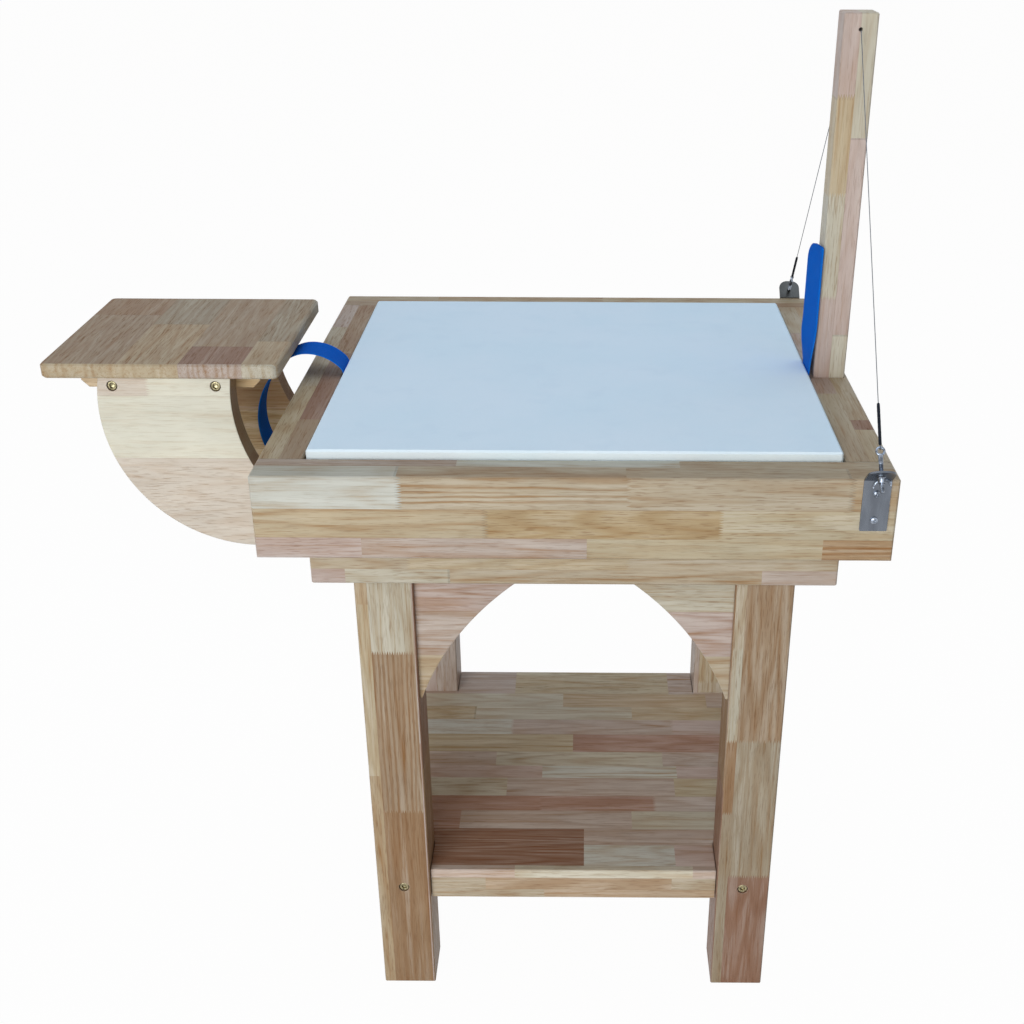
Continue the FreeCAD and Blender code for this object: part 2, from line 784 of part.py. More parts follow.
def wing_nut_ear(side):
    """One swept ear, as an outline in the plane through the nut's axis."""
    tip = nut_span / 2
    inside = tip - nut_ear_tip_width
    top = nut_ear_reach + nut_ear_tip_rise

    def at(out, height):
        return V(side * out, -nut_ear_thickness / 2, height)

    root_low = at(nut_ear_root, nut_ear_start)
    root_high = at(nut_ear_root, nut_ear_finish)
    belly = at((nut_ear_root + 2 * tip) / 3, nut_ear_belly)
    crook = at((nut_ear_root + 2 * inside) / 3, nut_ear_crook)
    outer = at(tip, nut_ear_reach)
    crest = at((inside + 2 * tip) / 3, top)
    inner = at(inside, (nut_ear_reach + top) / 2)
    outline = [
        Part.LineSegment(root_high, root_low).toShape(),
        Part.Arc(root_low, belly, outer).toShape(),
        Part.Arc(outer, crest, inner).toShape(),
        Part.Arc(inner, crook, root_high).toShape(),
    ]
    return extrude_outline(outline, Y * nut_ear_thickness)


def wing_nut():
    """A tapered hub with two swept ears, made upright and then set on the bolt's line."""
    nut = tapered_rod(nut_hub_top, nut_hub_end, nut_hub_height, V(0, 0, 0), Z)
    nut = nut.fuse([wing_nut_ear(-1), wing_nut_ear(1)])
    bore = eye_bolt_diameter + 2 * running_clearance
    nut = nut.cut(Part.makeCylinder(bore / 2, nut_ear_reach + nut_ear_tip_rise))
    seat = seat_point - wire_aim * (plate_thickness + washer_thickness + nut_gap)
    turned = FreeCAD.Rotation(Z, wire_aim * -1).multiply(FreeCAD.Rotation(Z, nut_turn))
    nut.Placement = FreeCAD.Placement(seat, turned)
    return nut


def sleeve():
    tube = rod(sleeve_diameter, sleeve_length, sleeve_foot, wire_aim)
    bore = wire_diameter + 2 * running_clearance
    return tube.cut(rod(bore, sleeve_length, sleeve_foot, wire_aim))


def wire_loop(ring_turn):
    """The loop round the ring's crown, turned with the ring."""
    axis = FreeCAD.Rotation(wire_aim, ring_turn).multVec(X)
    return faceted_ring(eye_crown, axis, loop_radius, wire_diameter, wire_sides)


def cutting_wire():
    """One wire: a loop in each eye, straight up to the mast and level through its hole."""
    loop_top = eye_crown + wire_aim * loop_radius
    mouth = V(mast_x, mouth_y, wire_hole_z)
    turn = math.pi / 2 - flange_tilt
    tangent = wire_bend_radius * math.tan(turn / 2)
    bend_start = mouth - wire_aim * tangent
    bend_end = mouth + V(0, tangent, 0)
    centre = bend_end - V(0, 0, wire_bend_radius)
    toward = (mouth - centre).normalize()
    bend_middle = centre + toward * wire_bend_radius
    far_end = V(mast_x, -bend_end.y, wire_hole_z)
    far_middle = V(mast_x, -bend_middle.y, bend_middle.z)
    far_start = V(mast_x, -bend_start.y, bend_start.z)
    far_top = V(mast_x, -loop_top.y, loop_top.z)
    path = Part.Wire([
        Part.LineSegment(loop_top, bend_start).toShape(),
        Part.Arc(bend_start, bend_middle, bend_end).toShape(),
        Part.LineSegment(bend_end, far_end).toShape(),
        Part.Arc(far_end, far_middle, far_start).toShape(),
        Part.LineSegment(far_start, far_top).toShape(),
    ])
    section = regular_outline(wire_diameter, wire_sides, loop_top, wire_aim)
    wire = path.makePipeShell([section], True, False)
    print("wire along its line, mm:", round(path.Length + 4 * math.pi * loop_radius, 1))
    return wire.fuse([wire_loop(front_eye_turn), at_rear(wire_loop(rear_eye_turn))])


hardware = {
    "tension_plate": tension_plate(),
    "eye_bolt": eye_bolt(front_eye_turn),
    "washer": washer(),
    "wing_nut": wing_nut(),
    "sleeve": sleeve(),
}
for name, piece in hardware.items():
    save("front_" + name, piece)
    rear_piece = eye_bolt(rear_eye_turn) if name == "eye_bolt" else piece
    save("rear_" + name, at_rear(rear_piece))
screws = plate_screws()
save("plate_screws", screws + [at_rear(s) for s in screws])
save("cutting_wire", cutting_wire())
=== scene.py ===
# %% [markdown]
# # A pottery wedging table, dressed in Blender
# The solids come in as a fixed frame: every board, screw and plate already stands in its place,
# in metres, with the floor at zero and the front towards minus Y. This lesson gives them their
# finish: oiled wood glued up from short staves, cast plaster, webbing, zinc, steel and wire.
# The small round pieces and the strap are made again as smooth surfaces, because the solids
# keep them plain.

# %% Load the frame
import json
import math

import bmesh
import bpy
import numpy as np
from mathutils import Matrix, Vector


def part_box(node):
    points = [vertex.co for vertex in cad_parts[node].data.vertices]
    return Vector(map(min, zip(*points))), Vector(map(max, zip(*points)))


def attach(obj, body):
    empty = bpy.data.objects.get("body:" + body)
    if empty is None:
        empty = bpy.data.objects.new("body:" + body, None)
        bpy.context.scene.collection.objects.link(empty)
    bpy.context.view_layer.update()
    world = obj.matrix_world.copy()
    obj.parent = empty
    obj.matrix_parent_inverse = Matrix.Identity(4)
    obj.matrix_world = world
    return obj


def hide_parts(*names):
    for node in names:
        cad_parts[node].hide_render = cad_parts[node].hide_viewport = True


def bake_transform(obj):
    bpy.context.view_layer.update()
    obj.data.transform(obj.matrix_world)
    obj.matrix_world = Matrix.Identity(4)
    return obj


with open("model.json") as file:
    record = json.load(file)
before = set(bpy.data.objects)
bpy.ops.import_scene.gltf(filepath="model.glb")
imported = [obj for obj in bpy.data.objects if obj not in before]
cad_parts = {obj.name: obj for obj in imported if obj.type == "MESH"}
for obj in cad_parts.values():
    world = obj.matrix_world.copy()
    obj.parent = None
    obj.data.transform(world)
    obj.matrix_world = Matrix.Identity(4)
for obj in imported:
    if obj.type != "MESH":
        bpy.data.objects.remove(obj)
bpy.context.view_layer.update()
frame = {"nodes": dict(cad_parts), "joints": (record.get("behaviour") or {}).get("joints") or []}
tray_mid = 0.145
tray_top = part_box("tray_front_rail")[1].z
print("nodes:", len(frame["nodes"]), " tray top at", round(tray_top, 4), "m")

# %% [markdown]
# # The camera
# The photograph was taken from a little above the tray, looking 27 degrees down, with the
# camera almost level and almost square to the front. A camera can be aimed with a constraint,
# but here its three angles were solved from the photograph's own edges, so they are written
# down and made into one turn. The picture is a crop, so the lens is shifted a little.

# %% Camera
def turn(axis, degrees):
    return Matrix.Rotation(math.radians(degrees), 3, axis)


looking_down, leaning, swinging = 27.13, 0.26, -0.13
picture_side, focal_length, centre_x, centre_y = 1024, 1352.804, 578.075, 569.694
camera_spot = (tray_mid + 0.00766, -1.682496, 1.376569)
upright = turn("Y", leaning) @ turn("X", looking_down) @ turn("Z", swinging)
right, forward, up = (Vector(row) for row in upright)
camera = bpy.data.objects.new("camera", bpy.data.cameras.new("camera"))
axes = Matrix((right, up, -forward)).transposed().to_4x4()
camera.matrix_world = Matrix.Translation(camera_spot) @ axes
camera.data.sensor_width = 36.0
camera.data.lens = focal_length / picture_side * camera.data.sensor_width
camera.data.shift_x = (picture_side / 2 - centre_x) / picture_side
camera.data.shift_y = (centre_y - picture_side / 2) / picture_side
bpy.context.scene.collection.objects.link(camera)
bpy.context.scene.camera = camera
print("lens", round(camera.data.lens, 2), "mm")

# %% [markdown]
# # Shader sums as plain Python
# A material in Blender is a graph of nodes, and a sum such as 1 - mask needs a node of its own.
# Wiring those by hand hides the idea, so a socket is wrapped in a small class whose operators
# add the Math nodes: the code then reads like the formula. Triples go through Vector Math,
# and colours are blended by a Mix node, because a Math node would turn a colour grey.

# %% A socket that can be added and multiplied
def both_ways(operation):
    """Two methods for an operator: with the flow on its left, and on its right."""
    return (lambda flow, other: flow.sum_with(operation, flow, other),
            lambda flow, other: flow.sum_with(operation, other, flow))


class Flow:
    """What comes out of one socket of a material's graph."""

    def __init__(self, finish, socket):
        self.finish, self.socket = finish, socket

    def is_triple(self):
        return self.socket.type in ("VECTOR", "RGBA")

    def sum_with(self, operation, *pair):
        kind = "ShaderNodeMath"
        if any(isinstance(v, tuple) or isinstance(v, Flow) and v.is_triple() for v in pair):
            kind = "ShaderNodeVectorMath"
            pair = [(v,) * 3 if isinstance(v, (int, float)) else v for v in pair]
        return self.finish.add(kind, {"operation": operation}, dict(enumerate(pair)))

    __add__, __radd__ = both_ways("ADD")
    __sub__, __rsub__ = both_ways("SUBTRACT")
    __mul__, __rmul__ = both_ways("MULTIPLY")
    __truediv__, __pow__, __lt__, max, min = (both_ways(operation)[0] for operation in (
        "DIVIDE", "POWER", "LESS_THAN", "MAXIMUM", "MINIMUM"))

    def fold(self, operation):
        """A sum of one value, such as FLOOR, FRACT, SQRT, SINE or ABSOLUTE."""
        return self.finish.add("ShaderNodeMath", {"operation": operation}, {0: self})

    def zigzag(self):
        """A triangle wave: 0.5 at whole numbers, and 0 half way between them."""
        return (self.fold("FRACT") - 0.5).fold("ABSOLUTE")

    def between(self, low, high):
        """0 below low, 1 above high, and a smooth step from one to the other."""
        return self.finish.add("ShaderNodeMapRange", {"interpolation_type": "SMOOTHSTEP"},
                               {"Value": self, "From Min": low, "From Max": high})

    def part(self, name):
        """Another output of the same node."""
        return Flow(self.finish, self.socket.node.outputs[name])

    def parts(self):
        """The three numbers of a triple."""
        split = self.finish.add("ShaderNodeSeparateXYZ", {}, {0: self})
        return [split.part(name) for name in "XYZ"]


# %% [markdown]
# # One way to make any material
# Every finish below starts the same way: a named material, its main shader, and a place to
# look patterns up. Patterns are looked up by the point's place in the room, in metres, which
# suits boards that were sawn from something solid: a stave's figure then runs through it, and
# its end shows end grain without any extra work.

# %% A material and its nodes
def daylight(seen):
    """A colour read off a screen, 0 to 255, as the light it stands for, 0 to 1."""
    share = np.array(seen, float) / 255
    return tuple(np.where(share <= 0.04045, share / 12.92, ((share + 0.055) / 1.055) ** 2.4))


class Finish:
    """One material: its graph, and its main shader with the settings that never change."""

    def __init__(self, name, **same_all_over):
        self.material = bpy.data.materials.new(name)
        self.material.use_nodes = True
        self.graph = self.material.node_tree
        self.shader = self.graph.nodes["Principled BSDF"]
        for socket, value in same_all_over.items():
            self.shader.inputs[socket.replace("_", " ")].default_value = value

    def add(self, kind, settings, sockets):
        """Add a node: its settings first, then the values or flows of its sockets."""
        node = self.graph.nodes.new(kind)
        for name, value in settings.items():
            setattr(node, name, value)
        for place, value in sockets.items():
            if isinstance(value, Flow):
                self.graph.links.new(value.socket, node.inputs[place])
            else:
                node.inputs[place].default_value = value
        return Flow(self, next(s for s in node.outputs if s.enabled))

    def ramp(self, along, stops):
        """A row of constant colours, each a place from 0 to 1 and four numbers."""
        flow = self.add("ShaderNodeValToRGB", {}, {0: along})
        row = flow.socket.node.color_ramp
        row.interpolation = "CONSTANT"
        for spare in range(len(stops) - len(row.elements)):
            row.elements.new(1.0)
        for element, (place, colour) in zip(row.elements, stops):
            element.position = place
            element.color = colour
        return flow

    def blend(self, share, first, second, how="MIX"):
        """The second colour over the first, by a share from 0 to 1."""
        first, second = (v if isinstance(v, Flow) else (*v, 1.0) for v in (first, second))
        mix = self.add("ShaderNodeMix", {"data_type": "RGBA", "blend_type": how},
                       {0: share, 6: first, 7: second})
        return mix.part(2)

    def times_tint(self, share, colour, tint):
        """A colour and the same colour times a tint, by a share from 0 to 1."""
        return self.blend(share, colour, self.blend(1.0, colour, tint, "MULTIPLY"))

    def place(self):
        """The point's place in the room, in metres."""
        return self.add("ShaderNodeTexCoord", {}, {}).part("Object")

    def triple(self, x, y, z):
        return self.add("ShaderNodeCombineXYZ", {}, {0: x, 1: y, 2: z})

    def cloud(self, where, scale, detail=2.0, roughness=0.5):
        """Soft noise from 0 to 1, with lumps about 1 / scale metres across."""
        return self.add("ShaderNodeTexNoise", {}, {"Vector": where, "Scale": scale,
                        "Detail": detail, "Roughness": roughness})

    def feed(self, **flows):
        """Join flows to the main shader's sockets."""
        for socket, flow in flows.items():
            self.graph.links.new(flow.socket, self.shader.inputs[socket.replace("_", " ")])

    def rough_up(self, height, depth, normal=None):
        """Turn a height from 0 to 1 into bumps that are `depth` metres deep."""
        sockets = {"Height": height, "Strength": 1.0, "Distance": depth}
        if normal:
            sockets["Normal"] = normal
        return self.add("ShaderNodeBump", {}, sockets)


def dress(finish, nodes):
    """Give solids of the frame a finish; spaces part their names."""
    for node in nodes.split():
        slots = frame["nodes"][node].data.materials
        slots.clear()
        slots.append(finish.material)


print("white paper is", [round(v, 3) for v in daylight((240, 238, 232))])

# %% [markdown]
# # Floor, backdrop and light
# The table stands in a white void. Something large and nearly neutral lights it softly from the
# front left, bluish daylight comes from above, and a dim warm fill from all round: the fronts
# keep the wood's own colour and the tops look cooler. Two big soft lamps and the world give
# that. The white comes from the floor and the world as the camera sees them, not from more
# light, so nothing on the table burns out.

# %% World and lamps
def soft_lamp(name, place, aim, size, power, colour):
    lamp = bpy.data.objects.new(name, bpy.data.lights.new(name, "AREA"))
    lamp.data.shape, lamp.data.size, lamp.data.energy = "SQUARE", size, power
    lamp.data.color = colour
    lamp.location = place
    lamp.rotation_euler = (Vector(aim) - Vector(place)).to_track_quat("-Z", "Y").to_euler()
    bpy.context.scene.collection.objects.link(lamp)


def seen_or_mirrored(graph):
    """1 for rays from the camera, a mirror or glass, and 0 for the ones that carry light."""
    rays = graph.nodes.new("ShaderNodeLightPath")
    total = None
    for name in ("Is Camera Ray", "Is Glossy Ray", "Is Transmission Ray"):
        step = graph.nodes.new("ShaderNodeMath")
        step.operation, step.use_clamp = "ADD", True
        step.inputs[1].default_value = 0.0
        graph.links.new(rays.outputs[name], step.inputs[0])
        if total:
            graph.links.new(total, step.inputs[1])
        total = step.outputs[0]
    return total


world_light = (0.17, 0.15, 0.13)
world = bpy.data.worlds.new("white void")
bpy.context.scene.world = world
world.use_nodes = True
sky = world.node_tree
backdrop = sky.nodes.new("ShaderNodeMix")
backdrop.data_type = "RGBA"
backdrop.inputs[6].default_value = (*world_light, 1)
backdrop.inputs[7].default_value = (1, 1, 1, 1)
sky.links.new(seen_or_mirrored(sky), backdrop.inputs[0])
sky.links.new(backdrop.outputs[2], sky.nodes["Background"].inputs["Color"])
table_middle = (tray_mid, 0.0, 0.6)
soft_lamp("front window", (-1.3, -4.1, 1.5), table_middle, 3.2, 160, (0.90, 0.94, 0.96))
soft_lamp("skylight", (0.3, 0.6, 4.2), table_middle, 4.0, 86, (0.54, 0.75, 1.0))
bpy.context.scene.view_settings.view_transform = "Standard"

# %% Floor
floor_mesh = bpy.data.meshes.new("floor")
reach, paper_white = 40, 0.975
floor_corners = [(reach * x, reach * y, 0) for x, y in ((-1, -1), (1, -1), (1, 1), (-1, 1))]
floor_mesh.from_pydata(floor_corners, [], [(0, 1, 2, 3)])
floor = bpy.data.objects.new("floor", floor_mesh)
bpy.context.scene.collection.objects.link(floor)
paper = Finish("floor paper", Base_Color=(0.80, 0.75, 0.68, 1), Roughness=0.9)
glow = paper.add("ShaderNodeEmission", {}, {"Color": (1, 1, 1, 1), "Strength": 1.0})
plain = Flow(paper, paper.shader.outputs[0])
seen = Flow(paper, seen_or_mirrored(paper.graph))
mixed = paper.add("ShaderNodeMixShader", {}, {0: seen * paper_white, 1: plain, 2: glow})
paper.graph.links.new(mixed.socket, paper.graph.nodes["Material Output"].inputs["Surface"])
floor_mesh.materials.append(paper.material)

# %% [markdown]
# # Laminated wood
# The boards are rubberwood, glued up from short staves: courses lie side by side, and in each
# course the staves meet end to end in a comb of small fingers. Every stave was cut from another
# place in another tree, so neighbours differ in colour and figure. An image would blur and
# stretch here. Instead the staves are laid out as they lie on the real table, and a
# formula grows each one's figure: rings round a centre of its own, streaks and open pores that
# run with the grain, and a thin dark glue line. A stave is written as where it ends, its tone
# and how figured it is, and a bar of staves is laid over the ones before it, below two given
# heights.

# %% Tones of the staves, as the front window lights them
front_light = 1.12
seen_tones = {
    "ash": (202, 201, 192), "cream": (194, 186, 168), "butter": (192, 178, 151),
    "honey": (192, 175, 147), "golden": (186, 165, 136), "tan": (188, 173, 150),
    "amber": (182, 159, 123), "pink": (192, 173, 164), "rose": (189, 173, 162),
    "russet": (176, 147, 114), "brown": (158, 128, 98), "umber": (150, 116, 96),
    "milk": (226, 222, 206), "shell": (218, 206, 192), "clay": (174, 140, 124),
    "sand": (166, 143, 118), "straw": (168, 154, 133),
}
tones = {name: tuple(v / front_light for v in daylight(seen))
         for name, seen in seen_tones.items()}
finger_length, finger_pitch, glue_line = 0.006, 0.003, 0.0005
far = 9.0
stave_numbers, end_shade, stave_count = 64, 0.80, 0
print(len(tones), "tones")


# %% A row of staves
def staves_in(text, origin):
    """Staves written as "end tone figure", with a comma between them."""
    for stave in text.split(", "):
        end, tone, figure = stave.split()
        yield float(end) + origin, tone, float(figure)


def stave_row(wood, along, low, staves):
    """Constant colours along the grain; alpha holds the stave's number and how figured it is."""
    global stave_count
    reach = staves[-1][0] - low
    stops, start = [], 0.0
    for end, tone, figure in staves:
        stave_count += 1
        number = (stave_count * 19 % stave_numbers + figure) / stave_numbers
        stops.append((start, (*tones[tone], number)))
        start = (end - low) / reach
        dark = tuple(end_shade * v for v in tones[tone])
        stops.append((start - glue_line / reach, (*dark, number)))
    return wood.ramp((along - low) / reach, stops[:-1])


def laid_bars(wood, places, origin, low, bars):
    """Bars of staves, each over the ones before: tone, number with figure, and glue lines.

    A bar is (top on the stack axis, top on the third axis, fingers, staves).
    """
    u, v, w = places
    comb = (v / finger_pitch).zigzag() * 2 - 0.5
    tone, number, glue = None, None, 0.0
    for v_top, w_top, fingers, staves in bars:
        staves = list(staves_in(staves, origin))
        row = stave_row(wood, u + comb * (finger_length * fingers), low, staves)
        if tone is None:
            tone, number = row, row.part("Alpha")
            continue
        here = (v < v_top) * (w < w_top)
        tone = wood.blend(here, tone, row)
        number = number + here * (row.part("Alpha") - number)
        if v_top < far:
            glue = ((v - v_top).fold("ABSOLUTE") < glue_line / 2) * (w < w_top) + glue
        if w_top < far:
            glue = ((w - w_top).fold("ABSOLUTE") < glue_line / 2) * (v < v_top) + glue
    return tone, number * stave_numbers, glue


# %% A stave's figure
ring_spread, ring_pitch = 0.035, 0.0046


def grown_figure(wood, places, tone, number, figured, bright):
    """Rings, streaks and pores over a tone: the colour, how rough it is, and its height.

    Rings: the distance from a centre line that leans away from the grain, plus a slow wobble,
    cut into steps by a sine. Streaks and pores: noise drawn out along the grain.
    """
    u, v, w = places
    stave, figure = number.fold("FLOOR"), number.fold("FRACT")
    chance = wood.add("ShaderNodeTexWhiteNoise", {"noise_dimensions": "1D"}, {"W": stave})
    luck = chance.part("Color").parts()
    local = wood.triple(u, v, w) + wood.triple(stave * 1.7, stave * 0.9, stave * 2.3)

    def grown(along, across, detail, roughness=0.5):
        """Noise with so many lumps to a metre along the grain, and so many across it."""
        return wood.cloud(local * (along, across, across), 1.0, detail, roughness)

    wobble = grown(4.0, 16.0, 2.0)
    across = ((v / ring_spread + luck[0]).fold("FRACT") - 0.5) * ring_spread
    depth = 0.004 + 0.05 * (1 - figure) + luck[1] * 0.01
    lean = (luck[2] - 0.5) * 0.10
    ring = (across * across + depth * depth).fold("SQRT") + u * lean + wobble * 0.012
    rings = ((ring * (2 * math.pi / ring_pitch)).fold("SINE") * 0.5 + 0.5) ** 2.2
    streak = grown(11.0, 300.0, 4.0, 0.65).between(0.46, 0.72)
    broad = grown(3.0, 60.0, 3.0)
    pore = grown(48.0, 820.0, 1.0).between(0.56, 0.68)
    patch = grown(10.0, 26.0, 2.0) - 0.5
    dark = rings * (0.14 + 0.55 * figure) + streak * (0.40 + 0.35 * luck[2])
    dark = (dark + (broad - 0.5) * 0.9 - 0.10) * figured
    pale = wood.blend(0.5, tone, (1.0, 0.98, 0.93))
    colour = wood.times_tint(dark.max(0.0).min(1.0), tone, (0.70, 0.49, 0.30))
    colour = wood.blend((0.0 - dark).max(0.0).min(1.0), colour, pale)
    colour = wood.times_tint(pore * (0.12 + 0.40 * luck[0]), colour, (0.50, 0.34, 0.22))
    rough = 0.42 + streak * 0.08 + pore * 0.2 + patch * 0.10
    height = 0.5 - pore * 0.5 - streak * 0.12 - rings * 0.06
    return colour * (bright + patch * 0.30), rough, height


# %% The wood itself
def laminated(name, nodes, axes, low, bars, painted_top_shade=1.0, painted_edge_shade=0.0, figured=1.0, bright=1.0):
    """Dress nodes in wood whose grain runs along one axis, in courses stacked along a second.

    Faces that look up are painted darker and warmer: painted shade. With the edge setting, faces
    that don't look along the third axis are painted dark brown: painted shade on the knees'
    edges.
    Every arris is softened, and painted pale along it: partly wear, partly a painted highlight.
    Staves along X are measured from the tray's middle.
    """
    wood = Finish(name, Roughness=0.5, Specular_IOR_Level=0.2)
    grain, stack = ("xyz".index(axis) for axis in axes)
    third = 3 - grain - stack
    spot = wood.place().parts()
    places = [spot[grain], spot[stack], spot[third]]
    origin = tray_mid if grain == 0 else 0.0
    tone, number, glue = laid_bars(wood, places, origin, low, bars)
    colour, rough, height = grown_figure(wood, places, tone, number, figured, bright)
    if glue:
        colour = wood.blend(glue.min(1.0) * 0.25, colour, (0.22, 0.12, 0.06))
    soft_edge = wood.add("ShaderNodeBevel", {"samples": 4}, {"Radius": 0.0022})
    flat = wood.add("ShaderNodeNewGeometry", {}, {}).part("True Normal")
    facing = flat.parts()
    # Painted shade: faces that look up are made darker and warmer.
    colour = wood.times_tint(facing[2].between(0.5, 0.9) * painted_top_shade, colour, (0.88, 0.80, 0.69))
    # Painted shade: faces that don't look along the third axis are made dark brown, which on the
    # knees are their edges.
    if painted_edge_shade:
        cut = (facing[third].fold("ABSOLUTE") < 0.5) * painted_edge_shade
        colour = wood.times_tint(cut, colour, (0.42, 0.27, 0.16))
    meet = wood.add("ShaderNodeVectorMath", {"operation": "DOT_PRODUCT"},
                    {0: soft_edge, 1: flat}).part("Value")
    # Pale along every arris: partly wear, partly a painted highlight.
    wear_and_edge_highlight = (1 - meet).between(0.02, 0.30) * 0.24
    wood.feed(Base_Color=wood.blend(wear_and_edge_highlight, colour, (0.80, 0.76, 0.68)), Roughness=rough,
              Normal=wood.rough_up(height, 0.00022, soft_edge))
    dress(wood, nodes)
    print(name, "on", nodes, "staves:", stave_count)


# %% [markdown]
# # The tray
# The front and rear rails run the whole width, three courses high and two staves thick, and the
# side rails butt between them. A rail could be one board of one tone, but the front rail is seen
# best of all, and its staves and courses are what shows that the wood is glued up.

# %% Rails
half_width = 0.35
left_end, right_end = tray_mid - half_width, tray_mid + half_width
low_x, low_y = left_end - 0.01, -0.31
upper_course, lower_course = tray_top - 0.038, tray_top - 0.0725
front_strip, rear_strip = -0.320, 0.322
left_strip, right_strip = left_end + 0.024, right_end - 0.024
laminated("front rail wood", "tray_front_rail", "xz", low_x, [
    (far, far, 0, "-0.130 rose 0.3, 0.115 ash 0.2, 0.36 tan 0.3"),
    (far, front_strip, 1, "-0.1909 ash 0.3, 0.0579 tan 0.95, 0.2983 tan 0.5, 0.36 golden 0.3"),
    (upper_course, front_strip, 1, "-0.0984 honey 0.55, 0.1586 amber 0.35, 0.36 butter 0.3"),
    (lower_course, front_strip, 0,
     "-0.235 pink 0.2, 0.0132 rose 0.4, 0.272 butter 0.2, 0.36 russet 0.95"),
])
laminated("rear rail wood", "tray_rear_rail", "xz", low_x, [
    (far, far, 1, "-0.21 tan 0.5, 0.04 golden 0.3, 0.36 honey 0.4"),
    (upper_course, far, 1, "-0.11 rose 0.4, 0.14 butter 0.3, 0.36 tan 0.6"),
    (lower_course, far, 0, "-0.02 amber 0.4, 0.21 pink 0.3, 0.36 ash 0.2"),
    (far, rear_strip, 0, "-0.17 sand 0.4, 0.08 brown 0.3, 0.36 sand 0.3"),
])
laminated("left rail wood", "tray_left_rail", "yz", low_y, [
    (far, far, 0, "-0.181 sand 0.5, 0.07 umber 0.4, 0.31 brown 0.4"),
    (far, left_strip, 1, "-0.06 honey 0.4, 0.19 tan 0.3, 0.31 pink 0.3"),
    (upper_course, left_strip, 1, "0.05 butter 0.3, 0.31 golden 0.6"),
    (lower_course, left_strip, 0, "-0.16 amber 0.3, 0.09 cream 0.2, 0.31 tan 0.5"),
])
laminated("right rail wood", "tray_right_rail", "yz", low_y, [
    (far, far, 0, "-0.204 honey 0.3, -0.172 umber 0.3, 0.05 tan 0.4, 0.31 golden 0.5"),
    (upper_course, far, 1, "-0.09 golden 0.5, 0.16 rose 0.3, 0.31 cream 0.3"),
    (lower_course, far, 0, "0.02 butter 0.4, 0.31 amber 0.4"),
    (far, right_strip, 0, "-0.08 tan 0.3, 0.17 pink 0.4, 0.31 tan 0.4"),
])

# %% [markdown]
# # Bench top, legs and gussets
# The bench top is two courses thick at its front edge. Each leg is one thick post of long staves
# with narrow strips at its sides, and the gussets are short boards whose grain lies level. The
# front legs' inner faces carry a thin skin in brown and umber: painted shade.

# %% Bench top
laminated("bench wood", "bench_top", "xz", low_x, [
    (far, far, 1, "-0.19 tan 0.4, 0.06 honey 0.3, 0.31 tan 0.4"),
    (tray_top - 0.135, far, 0,
     "-0.2635 pink 0.3, -0.145 cream 0.2, 0.2157 tan 0.5, 0.31 rose 0.2"),
])

# %% Legs
# The front legs' inner faces get a skin this thick in brown and umber tones: painted shade.
inner_shade_skin, low_z = 0.0012, -0.01
left_leg_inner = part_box("front_left_leg")[1].x - inner_shade_skin
right_leg_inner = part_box("front_right_leg")[0].x + inner_shade_skin
laminated("left leg wood", "front_left_leg", "zx", low_z, [
    (far, far, 0, "0.36 brown 0.3, 0.71 umber 0.3"),
    (left_leg_inner, far, 0, "0.40 pink 0.3, 0.66 rose 0.3, 0.71 pink 0.3"),
    (tray_mid - 0.195, far, 1, "0.293 brown 0.4, 0.532 sand 0.9, 0.71 cream 0.4"),
    (tray_mid - 0.247, far, 0, "0.35 golden 0.4, 0.60 honey 0.3, 0.71 golden 0.3"),
])
laminated("right leg wood", "front_right_leg", "zx", low_z, [
    (far, far, 1, "0.189 umber 0.3, 0.406 straw 0.5, 0.71 sand 0.6"),
    (tray_mid + 0.206, far, 1, "0.292 straw 0.3, 0.406 brown 0.4, 0.540 cream 0.3, 0.71 tan 0.4"),
    (right_leg_inner, far, 0, "0.33 umber 0.3, 0.71 brown 0.3"),
])
laminated("rear leg wood", "rear_left_leg rear_right_leg", "zx", low_z, [
    (far, far, 1, "0.21 tan 0.4, 0.46 honey 0.6, 0.71 butter 0.3"),
    (tray_mid + 0.2, far, 1, "0.12 golden 0.4, 0.37 rose 0.3, 0.62 tan 0.4, 0.71 amber 0.3"),
    (tray_mid - 0.225, far, 0, "0.27 pink 0.3, 0.52 golden 0.4, 0.71 tan 0.3"),
])

# %% Gussets
laminated("left gusset wood", "front_left_gusset front_right_gusset", "xz", low_x, [
    (far, far, 0, "0.0 pink 0.7, 0.36 cream 0.3"),
    (0.588, far, 0, "0.0 rose 0.5, 0.36 pink 0.5"),
    (0.526, far, 0, "0.0 golden 0.4, 0.36 tan 0.4"),
])
laminated("rear gusset wood", "rear_left_gusset rear_right_gusset", "xz", low_x, [
    (far, far, 0, "0.0 tan 0.4, 0.36 rose 0.3"),
    (0.575, far, 0, "0.0 golden 0.3, 0.36 tan 0.4"),
])

# %% [markdown]
# # The two shelves, the knees and the mast
# The lower shelf shows best how such a board is made: thirteen courses, each with its own
# joints, and two more strips in its front edge. The side shelf's courses run front to back, so
# its front edge is end grain.

